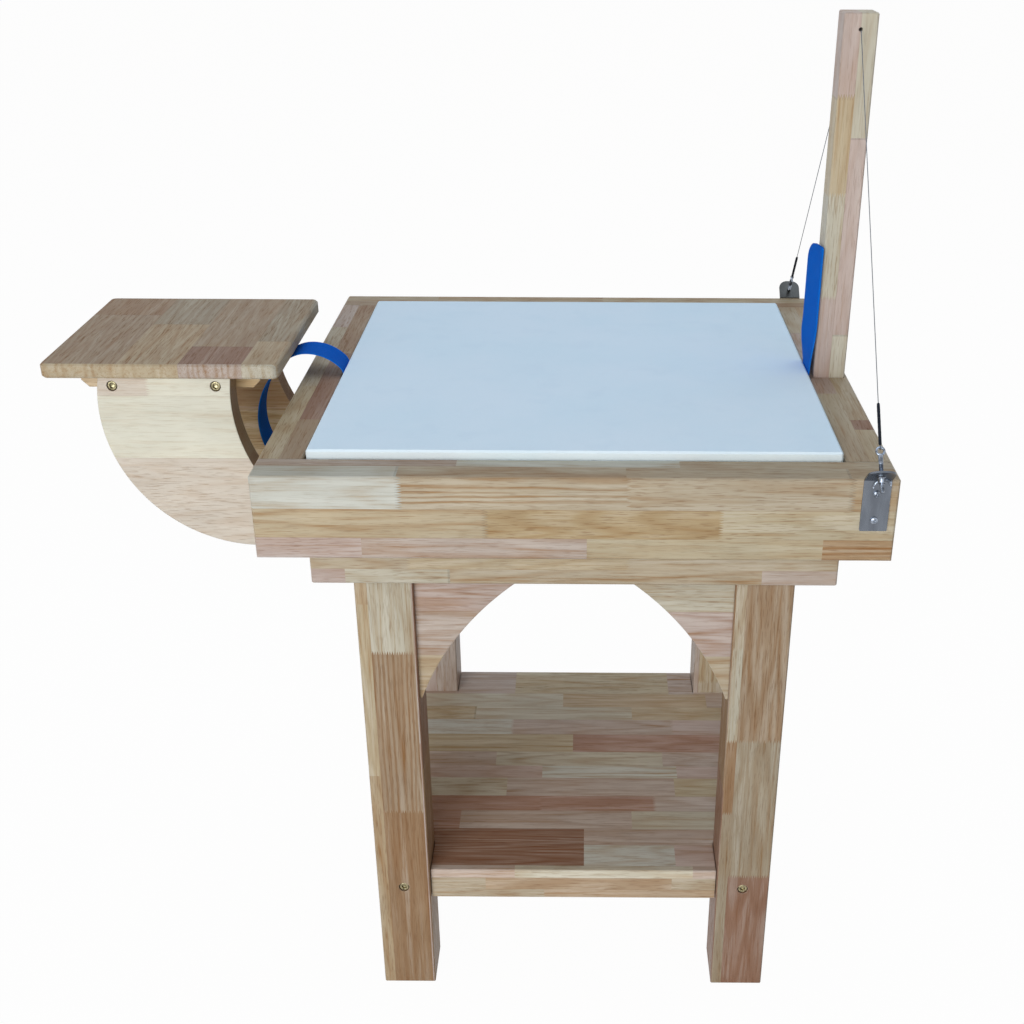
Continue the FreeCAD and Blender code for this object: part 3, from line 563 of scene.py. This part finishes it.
# %% Lower shelf
shelf_courses = [
    (far, "-0.1 rose 0.4, 0.15 butter 0.4, 0.36 rose 0.4"),
    (0.186, "-0.02 cream 0.3, 0.21 golden 0.3, 0.36 rose 0.4"),
    (0.147, "-0.16 butter 0.4, 0.09 cream 0.4, 0.36 honey 0.3"),
    (0.110, "-0.099 ash 0.3, 0.151 rose 0.4, 0.36 pink 0.3"),
    (0.069, "-0.004 butter 0.4, 0.24 clay 0.4, 0.36 clay 0.4"),
    (0.022, "-0.12 rose 0.4, 0.13 cream 0.6, 0.36 rose 0.3"),
    (-0.0145, "-0.05 pink 0.3, 0.150 ash 0.9, 0.36 pink 0.4"),
    (-0.045, "-0.10 cream 0.3, 0.144 rose 0.3, 0.36 butter 0.4"),
    (-0.089, "-0.05 clay 0.3, 0.115 clay 0.5, 0.36 rose 0.4"),
    (-0.124, "-0.162 clay 0.3, 0.08 rose 0.5, 0.36 cream 0.4"),
    (-0.165, "0.013 umber 0.9, 0.25 rose 0.4, 0.36 butter 0.3"),
    (-0.200, "0.013 umber 0.9, 0.137 ash 0.4, 0.36 pink 0.4"),
    (-0.244, "-0.08 rose 0.3, 0.16 cream 0.3, 0.36 rose 0.3"),
]
fingered = (0.110, -0.089)
laminated("lower shelf wood", "lower_shelf", "xy", low_x, [
    (top, far, 1 if top in fingered else 0, staves) for top, staves in shelf_courses
] + [
    (far, 0.179, 0, "-0.12 straw 0.3, 0.13 sand 0.3, 0.36 straw 0.3"),
    (far, 0.1595, 0, "-0.04 straw 0.3, 0.20 sand 0.3, 0.36 straw 0.3"),
], painted_top_shade=0.0, bright=1.36)

# %% Side shelf, its cleats and knees
laminated("side shelf wood", "side_shelf_board", "yx", -0.15, [
    (far, far, 0, "-0.1395 cream 0.7, -0.05 golden 0.6, 0.15 straw 0.95"),
    (tray_mid - 0.398, far, 0, "-0.1395 rose 0.95, -0.0725 umber 0.9, 0.15 sand 0.6"),
    (tray_mid - 0.474, far, 0, "-0.1395 honey 0.4, 0.02 golden 0.7, 0.15 straw 0.8"),
    (tray_mid - 0.548, far, 0, "-0.1395 honey 0.7, 0.06 sand 0.8, 0.15 brown 0.6"),
], figured=0.75)
knee_low_x = -0.52
laminated("knee wood", "side_shelf_front_knee", "xz", knee_low_x, [
    (far, far, 1, "-0.519 shell 0.2, 0.0 milk 0.1"),
    (tray_top + 0.011, far, 0, "0.0 milk 0.12"),
    (tray_top - 0.070, far, 0, "0.0 shell 0.1"),
    (tray_top - 0.082, far, 0, "0.0 shell 0.5"),
], painted_edge_shade=0.8, figured=0.45)
# The rear knee and both cleats get darker, warmer tones than the front knee: painted shade.
shaded = "side_shelf_rear_knee side_shelf_front_cleat side_shelf_rear_cleat"
laminated("rear knee wood", shaded, "xz", knee_low_x, [
    (far, far, 1, "-0.45 golden 0.3, 0.0 amber 0.2"),
    (tray_top - 0.040, far, 0, "0.0 russet 0.3"),
    (tray_top - 0.092, far, 0, "0.0 amber 0.4"),
], painted_edge_shade=0.8, bright=1.4)

# %% Mast
laminated("mast wood", "mast", "zx", 0.70, [
    (far, far, 0, "0.859 cream 0.3, 1.100 pink 0.2, 1.25 cream 0.4"),
    (tray_mid + 0.325, far, 1,
     "0.907 pink 0.4, 1.0345 cream 0.3, 1.147 honey 0.7, 1.25 pink 0.3"),
], figured=0.7, bright=1.16)
laminated("inner wood", "tray_corner_tenons tray_floor", "xy", left_end - 0.3, [
    (far, far, 0, "0.36 tan 0.3"),
])

# %% [markdown]
# # Plaster
# The slab is pottery plaster, cast in a mould and dried: matt, almost white, and cloudy where it
# dried at different speeds. Plain white paint would look like plastic, so its clouds come from
# two sizes of noise and its surface has fine pits.

# %% Slab
plaster = Finish("cast plaster", Roughness=0.85, Specular_IOR_Level=0.25)
spot = plaster.place()
clouds = plaster.cloud(spot, 6.0, 4.0, 0.6)
stains = plaster.cloud(spot, 23.0, 3.0).between(0.52, 0.75)
pits = plaster.cloud(spot, 900.0, 1.0).between(0.62, 0.75)
white = plaster.blend(clouds.between(0.3, 0.7), (0.83, 0.93, 0.97), (0.87, 0.945, 0.98))
white = plaster.blend(stains * 0.25, white, (0.76, 0.86, 0.92))
# The pits are painted a little greyer: painted shade in them.
plaster.feed(Base_Color=plaster.blend(pits * 0.15, white, (0.6, 0.6, 0.6)),
             Normal=plaster.rough_up(0.5 - pits + clouds * 0.3, 0.0002))
dress(plaster, "plaster_slab")

# %% [markdown]
# # Surfaces from arrays
# Screws, rings, webbing and wire are all the same kind of thing: a profile carried round an axis
# or along a path, so each is a grid of points, row by row. Spin and Screw modifiers could make
# some of them, but a grid of numbers makes them all, and a formula is easy to change. One
# helper joins grids into a mesh, closes their ends and turns every face outwards.

# %% From grids of points to a piece
def grid_faces(rows, columns, first, ring):
    """Quads between rows; the last column meets the first, and in a ring the last row too."""
    row, column = np.meshgrid(np.arange(rows if ring else rows - 1), np.arange(columns),
                              indexing="ij")
    after, below = (column + 1) % columns, (row + 1) % rows
    corners = [row * columns + column, row * columns + after,
               below * columns + after, below * columns + column]
    return (np.stack(corners, -1).reshape(-1, 4) + first).tolist()


def make_piece(name, grids, finish, body=None, stands_for=(), slot=None, **attributes):
    """One closed mesh from grids shaped (rows, columns, 3).

    A grid whose last row is its first again is a ring. Any other is closed by a fan at each end.
    """
    points, faces, first = [], [], 0
    for grid in grids:
        ring = np.allclose(grid[0], grid[-1])
        if ring:
            grid = grid[:-1]
        rows, columns = grid.shape[:2]
        points.append(grid.reshape(-1, 3))
        faces += grid_faces(rows, columns, first, ring)
        if ring:
            first += rows * columns
            continue
        points += [grid[0].mean(0)[None], grid[-1].mean(0)[None]]
        low, high = first + rows * columns, first + rows * columns + 1
        last = first + (rows - 1) * columns
        for k in range(columns):
            after = (k + 1) % columns
            faces += [(low, first + after, first + k), (high, last + k, last + after)]
        first = high + 1
    mesh = bpy.data.meshes.new(name)
    mesh.from_pydata(np.concatenate(points).tolist(), [], faces)
    for key, values in attributes.items():
        kept = mesh.attributes.new(key, "FLOAT", "POINT")
        kept.data.foreach_set("value", values.astype(np.float32))
    work = bmesh.new()
    work.from_mesh(mesh)
    bmesh.ops.recalc_face_normals(work, faces=work.faces)
    work.to_mesh(mesh)
    work.free()
    mesh.shade_smooth()
    mesh.set_sharp_from_angle(angle=math.radians(40))
    mesh.materials.append(finish.material)
    made = bpy.data.objects.new(name, mesh)
    bpy.context.scene.collection.objects.link(made)
    if stands_for:
        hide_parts(*stands_for)
    if body:
        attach(made, body)
    print(name, len(mesh.polygons), "faces")
    return made


def angles(count):
    return np.arange(count) * 2 * np.pi / count


def way_along(line):
    """How far each point of a line is from its first, measured along the line."""
    return np.concatenate([[0], np.cumsum(np.linalg.norm(np.diff(line, axis=0), axis=1))])


def rounded(along, start, length, least):
    """1 up to the start, then down a quarter ellipse, but not under the least one's root."""
    return np.sqrt(np.clip(1 - np.clip((along - start) / length, 0, 1) ** 2, least, 1))


def lathe(profile, count):
    """A profile of (radius, height) rows turned round the upright axis."""
    radius, height = np.array(profile, float).T[..., None]
    a = angles(count)
    return np.stack([radius * np.cos(a), radius * np.sin(a),
                     np.broadcast_to(height, (len(radius), count))], -1)


def ring_grid(radius, rod, around, across, order=(0, 1, 2)):
    """A ring that stands upright: a circle of the rod's radius carried round a larger one."""
    a, b = np.meshgrid(angles(around), angles(across), indexing="ij")
    out = radius + rod * np.cos(b)
    ring = np.stack([out * np.cos(a), rod * np.sin(b), out * np.sin(a)], -1)[..., order]
    return np.concatenate([ring, ring[:1]])


def swung(grid, degrees):
    """Turn a grid about its own upright axis."""
    c, s = math.cos(math.radians(degrees)), math.sin(math.radians(degrees))
    return grid @ np.array([(c, s, 0), (-s, c, 0), (0, 0, 1)])


def placed(grid, origin, upwards, sideways=(1, 0, 0)):
    """Move a grid so that its upright axis points `upwards` from `origin`."""
    w = np.array(upwards, float)
    w /= np.linalg.norm(w)
    u = np.array(sideways, float)
    u -= w * (u @ w)
    u /= np.linalg.norm(u)
    return np.array(origin) + grid @ np.stack([u, np.cross(w, u), w])


# %% [markdown]
# # Metals
# Bare steel is a mirror with faults, so its look is mostly the room it stands in. A steel plate
# could be one grey with one roughness, but handled metal is smeared and scuffed, and it is the
# change from clear to dull that the eye reads as metal. Each metal here wanders between a
# light and a deep colour, and between two roughnesses, in soft smears and fine scuffs.
# On the bright hardware the deep colour is strong, and its dark patches are partly painted
# reflection of a darker room.

# %% Metals
def metal(name, colour, rough, smear, deep=0.72, nodes=""):
    """Metal whose roughness and colour wander between two values: soft marks and painted
    reflection.
    """
    steel = Finish(name, Metallic=1.0)
    spot = steel.place()
    smear_and_reflection = steel.cloud(spot * (1.0, 1.0, 0.35), smear, 3.0, 0.6)
    scuffs = steel.cloud(spot * (1.0, 1.0, 0.08), smear * 20, 2.0, 0.6).between(0.5, 0.7)
    tint = steel.blend(smear_and_reflection.between(0.32, 0.68), colour, tuple(deep * v for v in colour))
    steel.feed(Base_Color=tint, Roughness=rough + (smear_and_reflection - 0.5) * 0.3 + scuffs * 0.12)
    dress(steel, nodes)
    print(name, "on", nodes or "pieces made below")
    return steel


zinc = metal("yellow zinc", (0.46, 0.40, 0.24), 0.30, 380.0, 0.3, "side_shelf_tongue_screws")
# The hardware's deep colour of 0.3 makes strong dark patches: partly painted reflection.
hardware_steel = metal("bright hardware", (0.34, 0.38, 0.45), 0.20, 230.0, 0.3,
                       "front_washer rear_washer")
metal("polished plate", (0.19, 0.21, 0.245), 0.26, 45.0, nodes="front_tension_plate")
metal("shaded plate", (0.060, 0.056, 0.050), 0.26, 45.0, nodes="rear_tension_plate")

# %% [markdown]
# # Socket screws
# Yellow zinc furniture screws hold the lower shelf and the side shelf. Each head sits in a
# round recess, with a softened rim and a hexagon socket. The whole screw is one profile turned
# round its axis, apart from the socket, whose rows follow a hexagon instead of a circle.

# %% Socket screws
def socket_screw(head, head_height, shank, length, socket, deep):
    """Rows from the socket's floor out over the head and down the shank, in metres.

    In the socket, a row's radius is the hexagon's: half its width over the cosine of the angle
    to the nearest flat's middle.
    """
    count, edge, chamfer = 72, 0.0012, 0.0004
    a = angles(count)
    hexagon = socket / 2 / np.cos((a + np.pi / 6) % (np.pi / 3) - np.pi / 6)
    circle = np.ones(count)
    rim, tip = head / 2, -head_height - length
    rows = [(hexagon * 0.5, -deep - 0.0006), (hexagon, -deep), (hexagon, -chamfer),
            (hexagon + chamfer, 0.0)]
    for part in np.arange(6) / 5 * np.pi / 2:
        rows.append((circle * (rim - edge + edge * np.sin(part)), -edge + edge * np.cos(part)))
    rows += [(circle * rim, -head_height), (circle * shank / 2, -head_height),
             (circle * shank / 2, tip + shank), (circle * chamfer, tip)]
    radius = np.array([r for r, h in rows])
    height = np.array([h for r, h in rows])[:, None] * circle
    return np.stack([radius * np.cos(a), radius * np.sin(a), height], -1)


def socket_screws(name, node, **sizes):
    """Screws where the frame has them: one at each side of both ends of the node's box."""
    low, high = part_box(node)
    half_head, turn_per_metre, grids = sizes.pop("half_head"), 40, []
    for face, outwards in ((low.y, -1), (high.y, 1)):
        for x in (low.x + half_head, high.x - half_head):
            swing = x * turn_per_metre
            grids.append(placed(socket_screw(**sizes), (x, face, (low.z + high.z) / 2),
                                (0, outwards, 0), (math.cos(swing), 0, math.sin(swing))))
    make_piece(name, grids, zinc, "table", [node], "yellow_zinc_steel")


socket_screws("leg_screw_heads", "leg_screws", half_head=0.0065, head=0.0129,
              head_height=0.006, shank=0.0078, length=0.117, socket=0.006, deep=0.0033)
socket_screws("knee_screw_heads", "side_shelf_knee_screws", half_head=0.006, head=0.0119,
              head_height=0.005, shank=0.0058, length=0.041, socket=0.006, deep=0.003)

# %% [markdown]
# # The wire tensioner
# At the front and at the back a bent steel plate is screwed to the rail. Its flange leans so
# that it stands square to the wire. An eye bolt passes through it, and a wing nut under it draws
# the eye down and the wire tight. All of it is built once in the bolt's own upright frame, with
# the flange's upper face at zero, and then placed at both ends of the table.

# %% Where the bolts stand
mast_low, mast_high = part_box("mast")
mast_x = (mast_low.x + mast_high.x) / 2
hinge = next(j for j in frame["joints"] if j["name"] == "front_nut_turn")
seat = np.array(hinge["pos_m"])
wire_aim = np.array(hinge["axis"])
eye_turned = {"front": 0, "rear": 60}  # degrees about its bolt


def half_round(points):
    """Turn points half round the mast's axis, from the front tensioner to the rear one."""
    return np.array((2 * mast_x, 0, 0)) + points * (-1, -1, 1)


def at_end(grid, end):
    """From the bolt's own frame to the front or the rear one."""
    front = placed(grid, seat, wire_aim)
    return front if end == "front" else half_round(front)


print("bolt seat at", seat, "leaning", round(math.degrees(math.acos(wire_aim[2])), 2), "degrees")

# %% Eye bolts
eye_rise, eye_radius, eye_rod = 0.026, 0.00415, 0.00135
thread_pitch, thread_foot, bolt_radius = 0.0008, -0.020, 0.0025


def threaded_shank():
    """The radius drops by a triangle wave of height minus angle, which is a screw thread."""
    thread_top, thread_depth, foot_drop = 0.012, 0.0004, 0.0006
    height = np.linspace(thread_foot, eye_rise - eye_radius, 420)[:, None]
    a = angles(32)[None, :]
    wave = np.abs((height / thread_pitch - a / (2 * np.pi)) % 1 - 0.5) * 2
    threaded = np.clip((thread_top - height) / 0.001, 0, 1)
    foot = np.clip((height - thread_foot) / thread_pitch, 0, 1)
    radius = bolt_radius - thread_depth * wave * threaded - foot_drop * (1 - foot)
    return np.stack([radius * np.cos(a), radius * np.sin(a),
                     np.broadcast_to(height, radius.shape)], -1)


for end, turned in eye_turned.items():
    eye = swung(ring_grid(eye_radius, eye_rod, 56, 20), turned) + (0, 0, eye_rise)
    make_piece(end + "_eye", [at_end(eye, end), at_end(threaded_shank(), end)],
               hardware_steel, end + "_eye", [end + "_eye_bolt"], "hardware_steel")

# %% Wing nuts
def wing(side):
    """A flat oval carried along a bent spine from the hub to the ear's tip, in millimetres."""
    s = np.linspace(0, 1, 26)[:, None]
    root, crook, tip = np.array((2.4, 2.9)), np.array((8.6, 2.4)), np.array((10.2, 10.9))
    spine = (1 - s) ** 2 * root + 2 * s * (1 - s) * crook + s ** 2 * tip
    slope = 2 * (1 - s) * (crook - root) + 2 * s * (tip - crook)
    slope /= np.linalg.norm(slope, axis=1)[:, None]
    across = np.stack([-slope[:, 1], slope[:, 0]], -1)
    width = 1.75 * rounded(s, 0.84, 0.16, 0.02)
    thick = 0.88 * rounded(s, 0.9, 0.1, 0.05)
    b = angles(20)[None, :, None]
    flat = spine[:, None] + across[:, None] * width[:, None] * np.cos(b)
    y = np.broadcast_to(thick[:, None] * np.sin(b), flat[..., :1].shape)
    return np.concatenate([flat[..., :1] * side, y, -flat[..., 1:]], -1) * millimetre


nut_top, nut_turned, millimetre = -0.0032, -35, 0.001
hub = [(2.58, 0.0), (4.1, 0.0), (4.45, -0.35), (3.75, -6.1), (3.4, -6.5), (2.58, -6.5),
       (2.58, 0.0)]
hub_grid = lathe([(r * millimetre, z * millimetre) for r, z in hub], 40)
for end in eye_turned:
    grids = [at_end(swung(grid, nut_turned) + (0, 0, nut_top), end)
             for grid in (hub_grid, wing(1), wing(-1))]
    make_piece(end + "_nut", grids, hardware_steel, end + "_nut", [end + "_wing_nut"],
               "hardware_steel")

# %% Plate screws
def cross_head():
    """A low dome with a cross sunk in it: two crossing slots, deepest in the middle."""
    rim, half_slot, slot_reach = 0.004, 0.00065, 0.0024
    radius = np.concatenate([np.linspace(0.0001, rim, 30), [0.0041, 0.0041]])[:, None]
    a = angles(96)[None, :]
    x, y = radius * np.cos(a), radius * np.sin(a)
    dome = 0.0030 - 0.0014 * (radius / rim) ** 2.6
    across, along = np.abs(x), np.abs(y)
    slot = np.maximum(np.clip((half_slot - across) / 0.0002, 0, 1) * (along < slot_reach),
                      np.clip((half_slot - along) / 0.0002, 0, 1) * (across < slot_reach))
    height = dome - slot * (0.0016 - 0.35 * radius)
    height[-2:] = [[0.0010], [0.0]]
    return np.stack([x, y, height + 0 * x], -1)


head_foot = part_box("plate_screws")[0].y + 0.003
heads = []
for drop, twist in ((0.016, 0.5), (0.047, 1.1)):
    front = placed(cross_head(), (mast_x, head_foot, tray_top - drop), (0, -1, 0),
                   (math.cos(twist), 0, math.sin(twist)))
    heads += [front, half_round(front)]
make_piece("plate_screw_heads", heads, hardware_steel, "table", ["plate_screws"],
           "hardware_steel")

# %% [markdown]
# # The cutting wire
# One wire of 1 mm runs from the front eye up to the mast, through its hole and down to the rear
# eye. At each eye it makes a loop under a black shrunk sleeve. It is taut, so each half is a
# straight run with one bend at the mast's mouth. The bend is a NURBS curve, because a real
# wire has no corner, and the strands are ridges that wind round the tube. Each half is one
# fixed piece from its eye to the mast.

# %% Wire halves
wire_radius, strand_lay, loop_radius = 0.0005, 0.006, 0.0022
wire_finish = metal("wire", (0.16, 0.17, 0.19), 0.35, 500.0)
mast_top, hole_drop, bend = 1.240, 0.018, 0.006
hole = np.array((mast_x, 0.0, mast_top - hole_drop))
mouth = np.array((mast_x, mast_low.y - 0.002, mast_top - hole_drop))
crown_rise = eye_rise + eye_radius
crown = seat + wire_aim * crown_rise
route = [crown + wire_aim * loop_radius, crown + wire_aim * 0.05, mouth - wire_aim * bend, mouth,
         mouth + np.array((0, bend, 0)), hole]


def along_curve(points):
    """The points that a smooth curve passes, read from a NURBS spline of order 3."""
    line = bpy.data.curves.new("route", "CURVE")
    line.dimensions = "3D"
    spline = line.splines.new("NURBS")
    spline.points.add(len(points) - 1)
    spline.points.foreach_set("co", np.array([(*p, 1.0) for p in points]).ravel())
    spline.order_u, spline.use_endpoint_u = 3, True
    spline.resolution_u = 24
    holder = bpy.data.objects.new("route", line)
    mesh = bpy.data.meshes.new_from_object(holder)
    found = np.array([v.co for v in mesh.vertices])
    bpy.data.objects.remove(holder)
    bpy.data.meshes.remove(mesh)
    return found


def strand_tube(line, spacing, radius):
    """A tube along a line in one upright plane, with six ridges winding round it.

    The radius is less by a share of the sine of three times (angle minus way along), folded up.
    """
    way = way_along(line)
    fine = np.linspace(0, way[-1], int(way[-1] / spacing) + 2)
    path = np.stack([np.interp(fine, way, line[:, k]) for k in range(3)], -1)
    heading = np.gradient(path, axis=0)
    heading /= np.linalg.norm(heading, axis=1)[:, None]
    across = np.broadcast_to(np.array((1.0, 0, 0)), path.shape)
    normal = np.cross(heading, across)
    a = angles(18)[None, :, None]
    ridge = 1 - 0.16 * np.abs(np.sin(3 * (a - 2 * np.pi * fine[:, None, None] / strand_lay)))
    around = np.cos(a) * across[:, None] + np.sin(a) * normal[:, None]
    return path[:, None] + radius * ridge * around


line = along_curve(route)
for end in eye_turned:
    path, stop = (line, mouth) if end == "front" else (half_round(line), half_round(mouth))
    half = make_piece(end + "_wire", [strand_tube(path, strand_lay / 10, wire_radius)],
                      wire_finish, stands_for=["cutting_wire"], slot="wire_steel")
    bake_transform(half)

# %% Loops and sleeves
sleeve_foot, sleeve_length, sleeve_radius = crown_rise + 0.00305, 0.047, 0.0018
sleeve_edge, folds_length, mouth_radius = 0.0008, 0.0452, 0.0006
profile = [(mouth_radius, 0.0), (sleeve_radius * 0.8, 0.0), (sleeve_radius, sleeve_edge)]
for k in range(1, 18):
    fold = 1 - 0.07 * abs(math.sin(k * 1.9))
    profile.append((sleeve_radius * fold, sleeve_edge + folds_length * k / 18))
profile += [(sleeve_radius * 0.85, sleeve_length - sleeve_edge), (mouth_radius, sleeve_length)]
rubber = Finish("black sleeve", Specular_IOR_Level=0.12)
shine = rubber.cloud(rubber.place(), 400.0)
rubber.feed(Base_Color=rubber.blend(shine, (0.004, 0.005, 0.008), (0.010, 0.013, 0.022)),
            Roughness=0.38 + shine * 0.25)
for end, turned in eye_turned.items():
    loop = ring_grid(loop_radius, wire_radius, 48, 12, order=(1, 0, 2))
    loop = swung(loop, turned) + (0, 0, crown_rise)
    make_piece(end + "_wire_loop", [at_end(loop, end)], wire_finish, end + "_eye",
               slot="wire_steel")
    tube = lathe([(r, z + sleeve_foot) for r, z in profile], 24)
    make_piece(end + "_shrunk_sleeve", [at_end(tube, end)], rubber, end + "_eye",
               [end + "_sleeve"], "black_sleeve")

# %% [markdown]
# # The lifting strap
# Flat blue webbing, 50 mm wide, runs under the slab, and its two tails come up at the sides, so
# that a potter can lift the heavy plaster out. Webbing is stiff across and bends only one way,
# so it is a flat section carried along runs and bends, as tape is. Its weave is a pattern of
# short diagonal floats that follows the strap, looked up by two numbers kept on its points.

# %% Strap line
strap_width, strap_thickness = 0.050, 0.0022
gap_x, corner, sway_radius, right_tail = 0.2985, 0.004, 0.3, 0.168
strap_z = tray_top - 0.0675
rise = tray_top - strap_z - corner
left_moves = [(gap_x - corner, 0), (corner, -90), (rise, 0), (0.018, 45), (0.056, 45),
              (0.045, 50), (0.020, 0), (0.097, 40), (0.095, 35)]
mast_gap = 0.305 - 0.0003 - 0.0012 - gap_x
lean = math.degrees(math.acos(1 - mast_gap / (2 * sway_radius)))
right_moves = [(gap_x - corner, 0), (corner, 90), (rise, 0), (sway_radius, -lean),
               (sway_radius, lean),
               (right_tail - 2 * sway_radius * math.sin(math.radians(lean)), 0)]


def runs_and_bends(moves, heading, spacing=0.002):
    """Points along straight runs (length, 0) and round bends (radius, turn in degrees).

    A bend's heading grows evenly with the way along it, and the place is the sum of small
    steps, each taken along the heading at its middle.
    """
    headings, lengths = [], []
    for size, turned in moves:
        length = size if turned == 0 else size * math.radians(abs(turned))
        count = max(1, round(length / spacing))
        middle = (np.arange(count) + 0.5) / count
        headings.append(heading + turned * middle)
        lengths.append(np.full(count, length / count))
        heading += turned
    headings, lengths = np.radians(np.concatenate(headings)), np.concatenate(lengths)
    steps = np.stack([np.cos(headings), np.sin(headings)], -1) * lengths[:, None]
    return np.concatenate([[(0, 0)], np.cumsum(steps, axis=0)])


left_line = runs_and_bends(left_moves, 180.0)
right_line = runs_and_bends(right_moves, 0.0)
strap_line = np.concatenate([left_line[::-1], right_line[1:]]) + (tray_mid, strap_z)
strap_way = way_along(strap_line)
print("strap", round(strap_way[-1], 4), "m long")

# %% Strap surface
def eased(share):
    """A smooth step from 0 to 1."""
    return share * share * (3 - 2 * share)


def corner_cut(left, radius):
    """How far a round corner has cut into the width, by how much of the length is left."""
    cut = radius - np.sqrt(np.clip(radius ** 2 - (radius - left) ** 2, 0, None))
    return np.where(left < radius, cut, 0)


def strap_surface():
    """A flat oblong section with rounded edges, carried along the line.

    Free tails cup a little: the middle stands proud by the square of the way across. The right
    tail's top corners are cut to a curve by narrowing the section near its end, and the tail
    turns about its front edge, which leans on the mast.
    """
    along = np.gradient(strap_line, axis=0)
    along /= np.linalg.norm(along, axis=1)[:, None]
    out = np.stack([along[:, 1], -along[:, 0]], -1)
    half, thin = strap_width / 2, strap_thickness / 2
    across = np.concatenate([np.linspace(-1, 1, 15), np.linspace(1, -1, 15)])
    side = np.concatenate([np.ones(15), -np.ones(15)])
    edge = rounded(np.abs(across), 0.96, 0.04, 0.10)
    left = strap_way[-1] - strap_way
    low, high = -half + corner_cut(left, 0.003), half - corner_cut(left, 0.024)
    y = low[:, None] + (across[None] + 1) / 2 * (high - low)[:, None]
    tail = eased(np.clip((0.52 - strap_way) / 0.12, 0, 1))
    cup = -0.0011 * (y / half) ** 2 * tail[:, None]
    sway = 0.0012 * np.sin(strap_way * 21) * tail
    lift = thin * edge[None] * side[None] + cup
    x = strap_line[:, :1] + out[:, :1] * lift
    z = strap_line[:, 1:] + out[:, 1:] * lift
    turned = np.clip((z - tray_top) / 0.06, 0, 1) * (strap_line[:, :1] > tray_mid)
    turned = math.radians(12) * eased(turned)
    x = x - (half + y) * np.sin(turned)
    grid = np.stack([x, (half + y) * np.cos(turned) - half + sway[:, None], z], -1)
    return grid, y + 0 * x, strap_way[:, None] + 0 * x


def with_ends(values):
    """A grid's values, and the mean of its first and last row for the two fans' middles."""
    return np.concatenate([values.ravel(), [values[0].mean(), values[-1].mean()]])


grid, across_value, along_value = strap_surface()
print("strap surface", grid.shape[0], "rows of", grid.shape[1])

# %% Webbing
webbing = Finish("blue webbing", Specular_IOR_Level=0.06)
down_strap = webbing.add("ShaderNodeAttribute", {"attribute_name": "along"}, {}).part("Fac")
over_strap = webbing.add("ShaderNodeAttribute", {"attribute_name": "across"}, {}).part("Fac")
rib, yarn = 0.0026, 0.0011
from_rib = (over_strap / rib).zigzag()
floats = ((down_strap + from_rib * rib) / yarn).zigzag() * 2
weave = floats.between(0.0, 0.8) * 0.6 + (from_rib * 2).between(0.0, 0.9) * 0.4
selvedge = over_strap.fold("ABSOLUTE").between(0.0215, 0.0235)
fuzz, fade = webbing.cloud(webbing.place(), 1800.0), webbing.cloud(webbing.place(), 18.0)
blue = webbing.blend(weave, (0.001, 0.045, 0.34), (0.003, 0.16, 0.72))
blue = webbing.blend(selvedge * 0.5, blue, (0.006, 0.22, 0.78))
blue = webbing.blend(fade * 0.25, blue, (0.006, 0.17, 0.60))
webbing.feed(Base_Color=webbing.blend(fuzz.between(0.55, 0.75) * 0.25, blue, (0.03, 0.26, 0.80)),
             Roughness=0.62 + fuzz * 0.2, Normal=webbing.rough_up(weave + fuzz * 0.15, 0.00035))
strap = make_piece("webbing_strap", [grid], webbing, stands_for=["lifting_strap"],
                   slot="blue_webbing", along=with_ends(along_value),
                   across=with_ends(across_value))
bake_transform(strap)
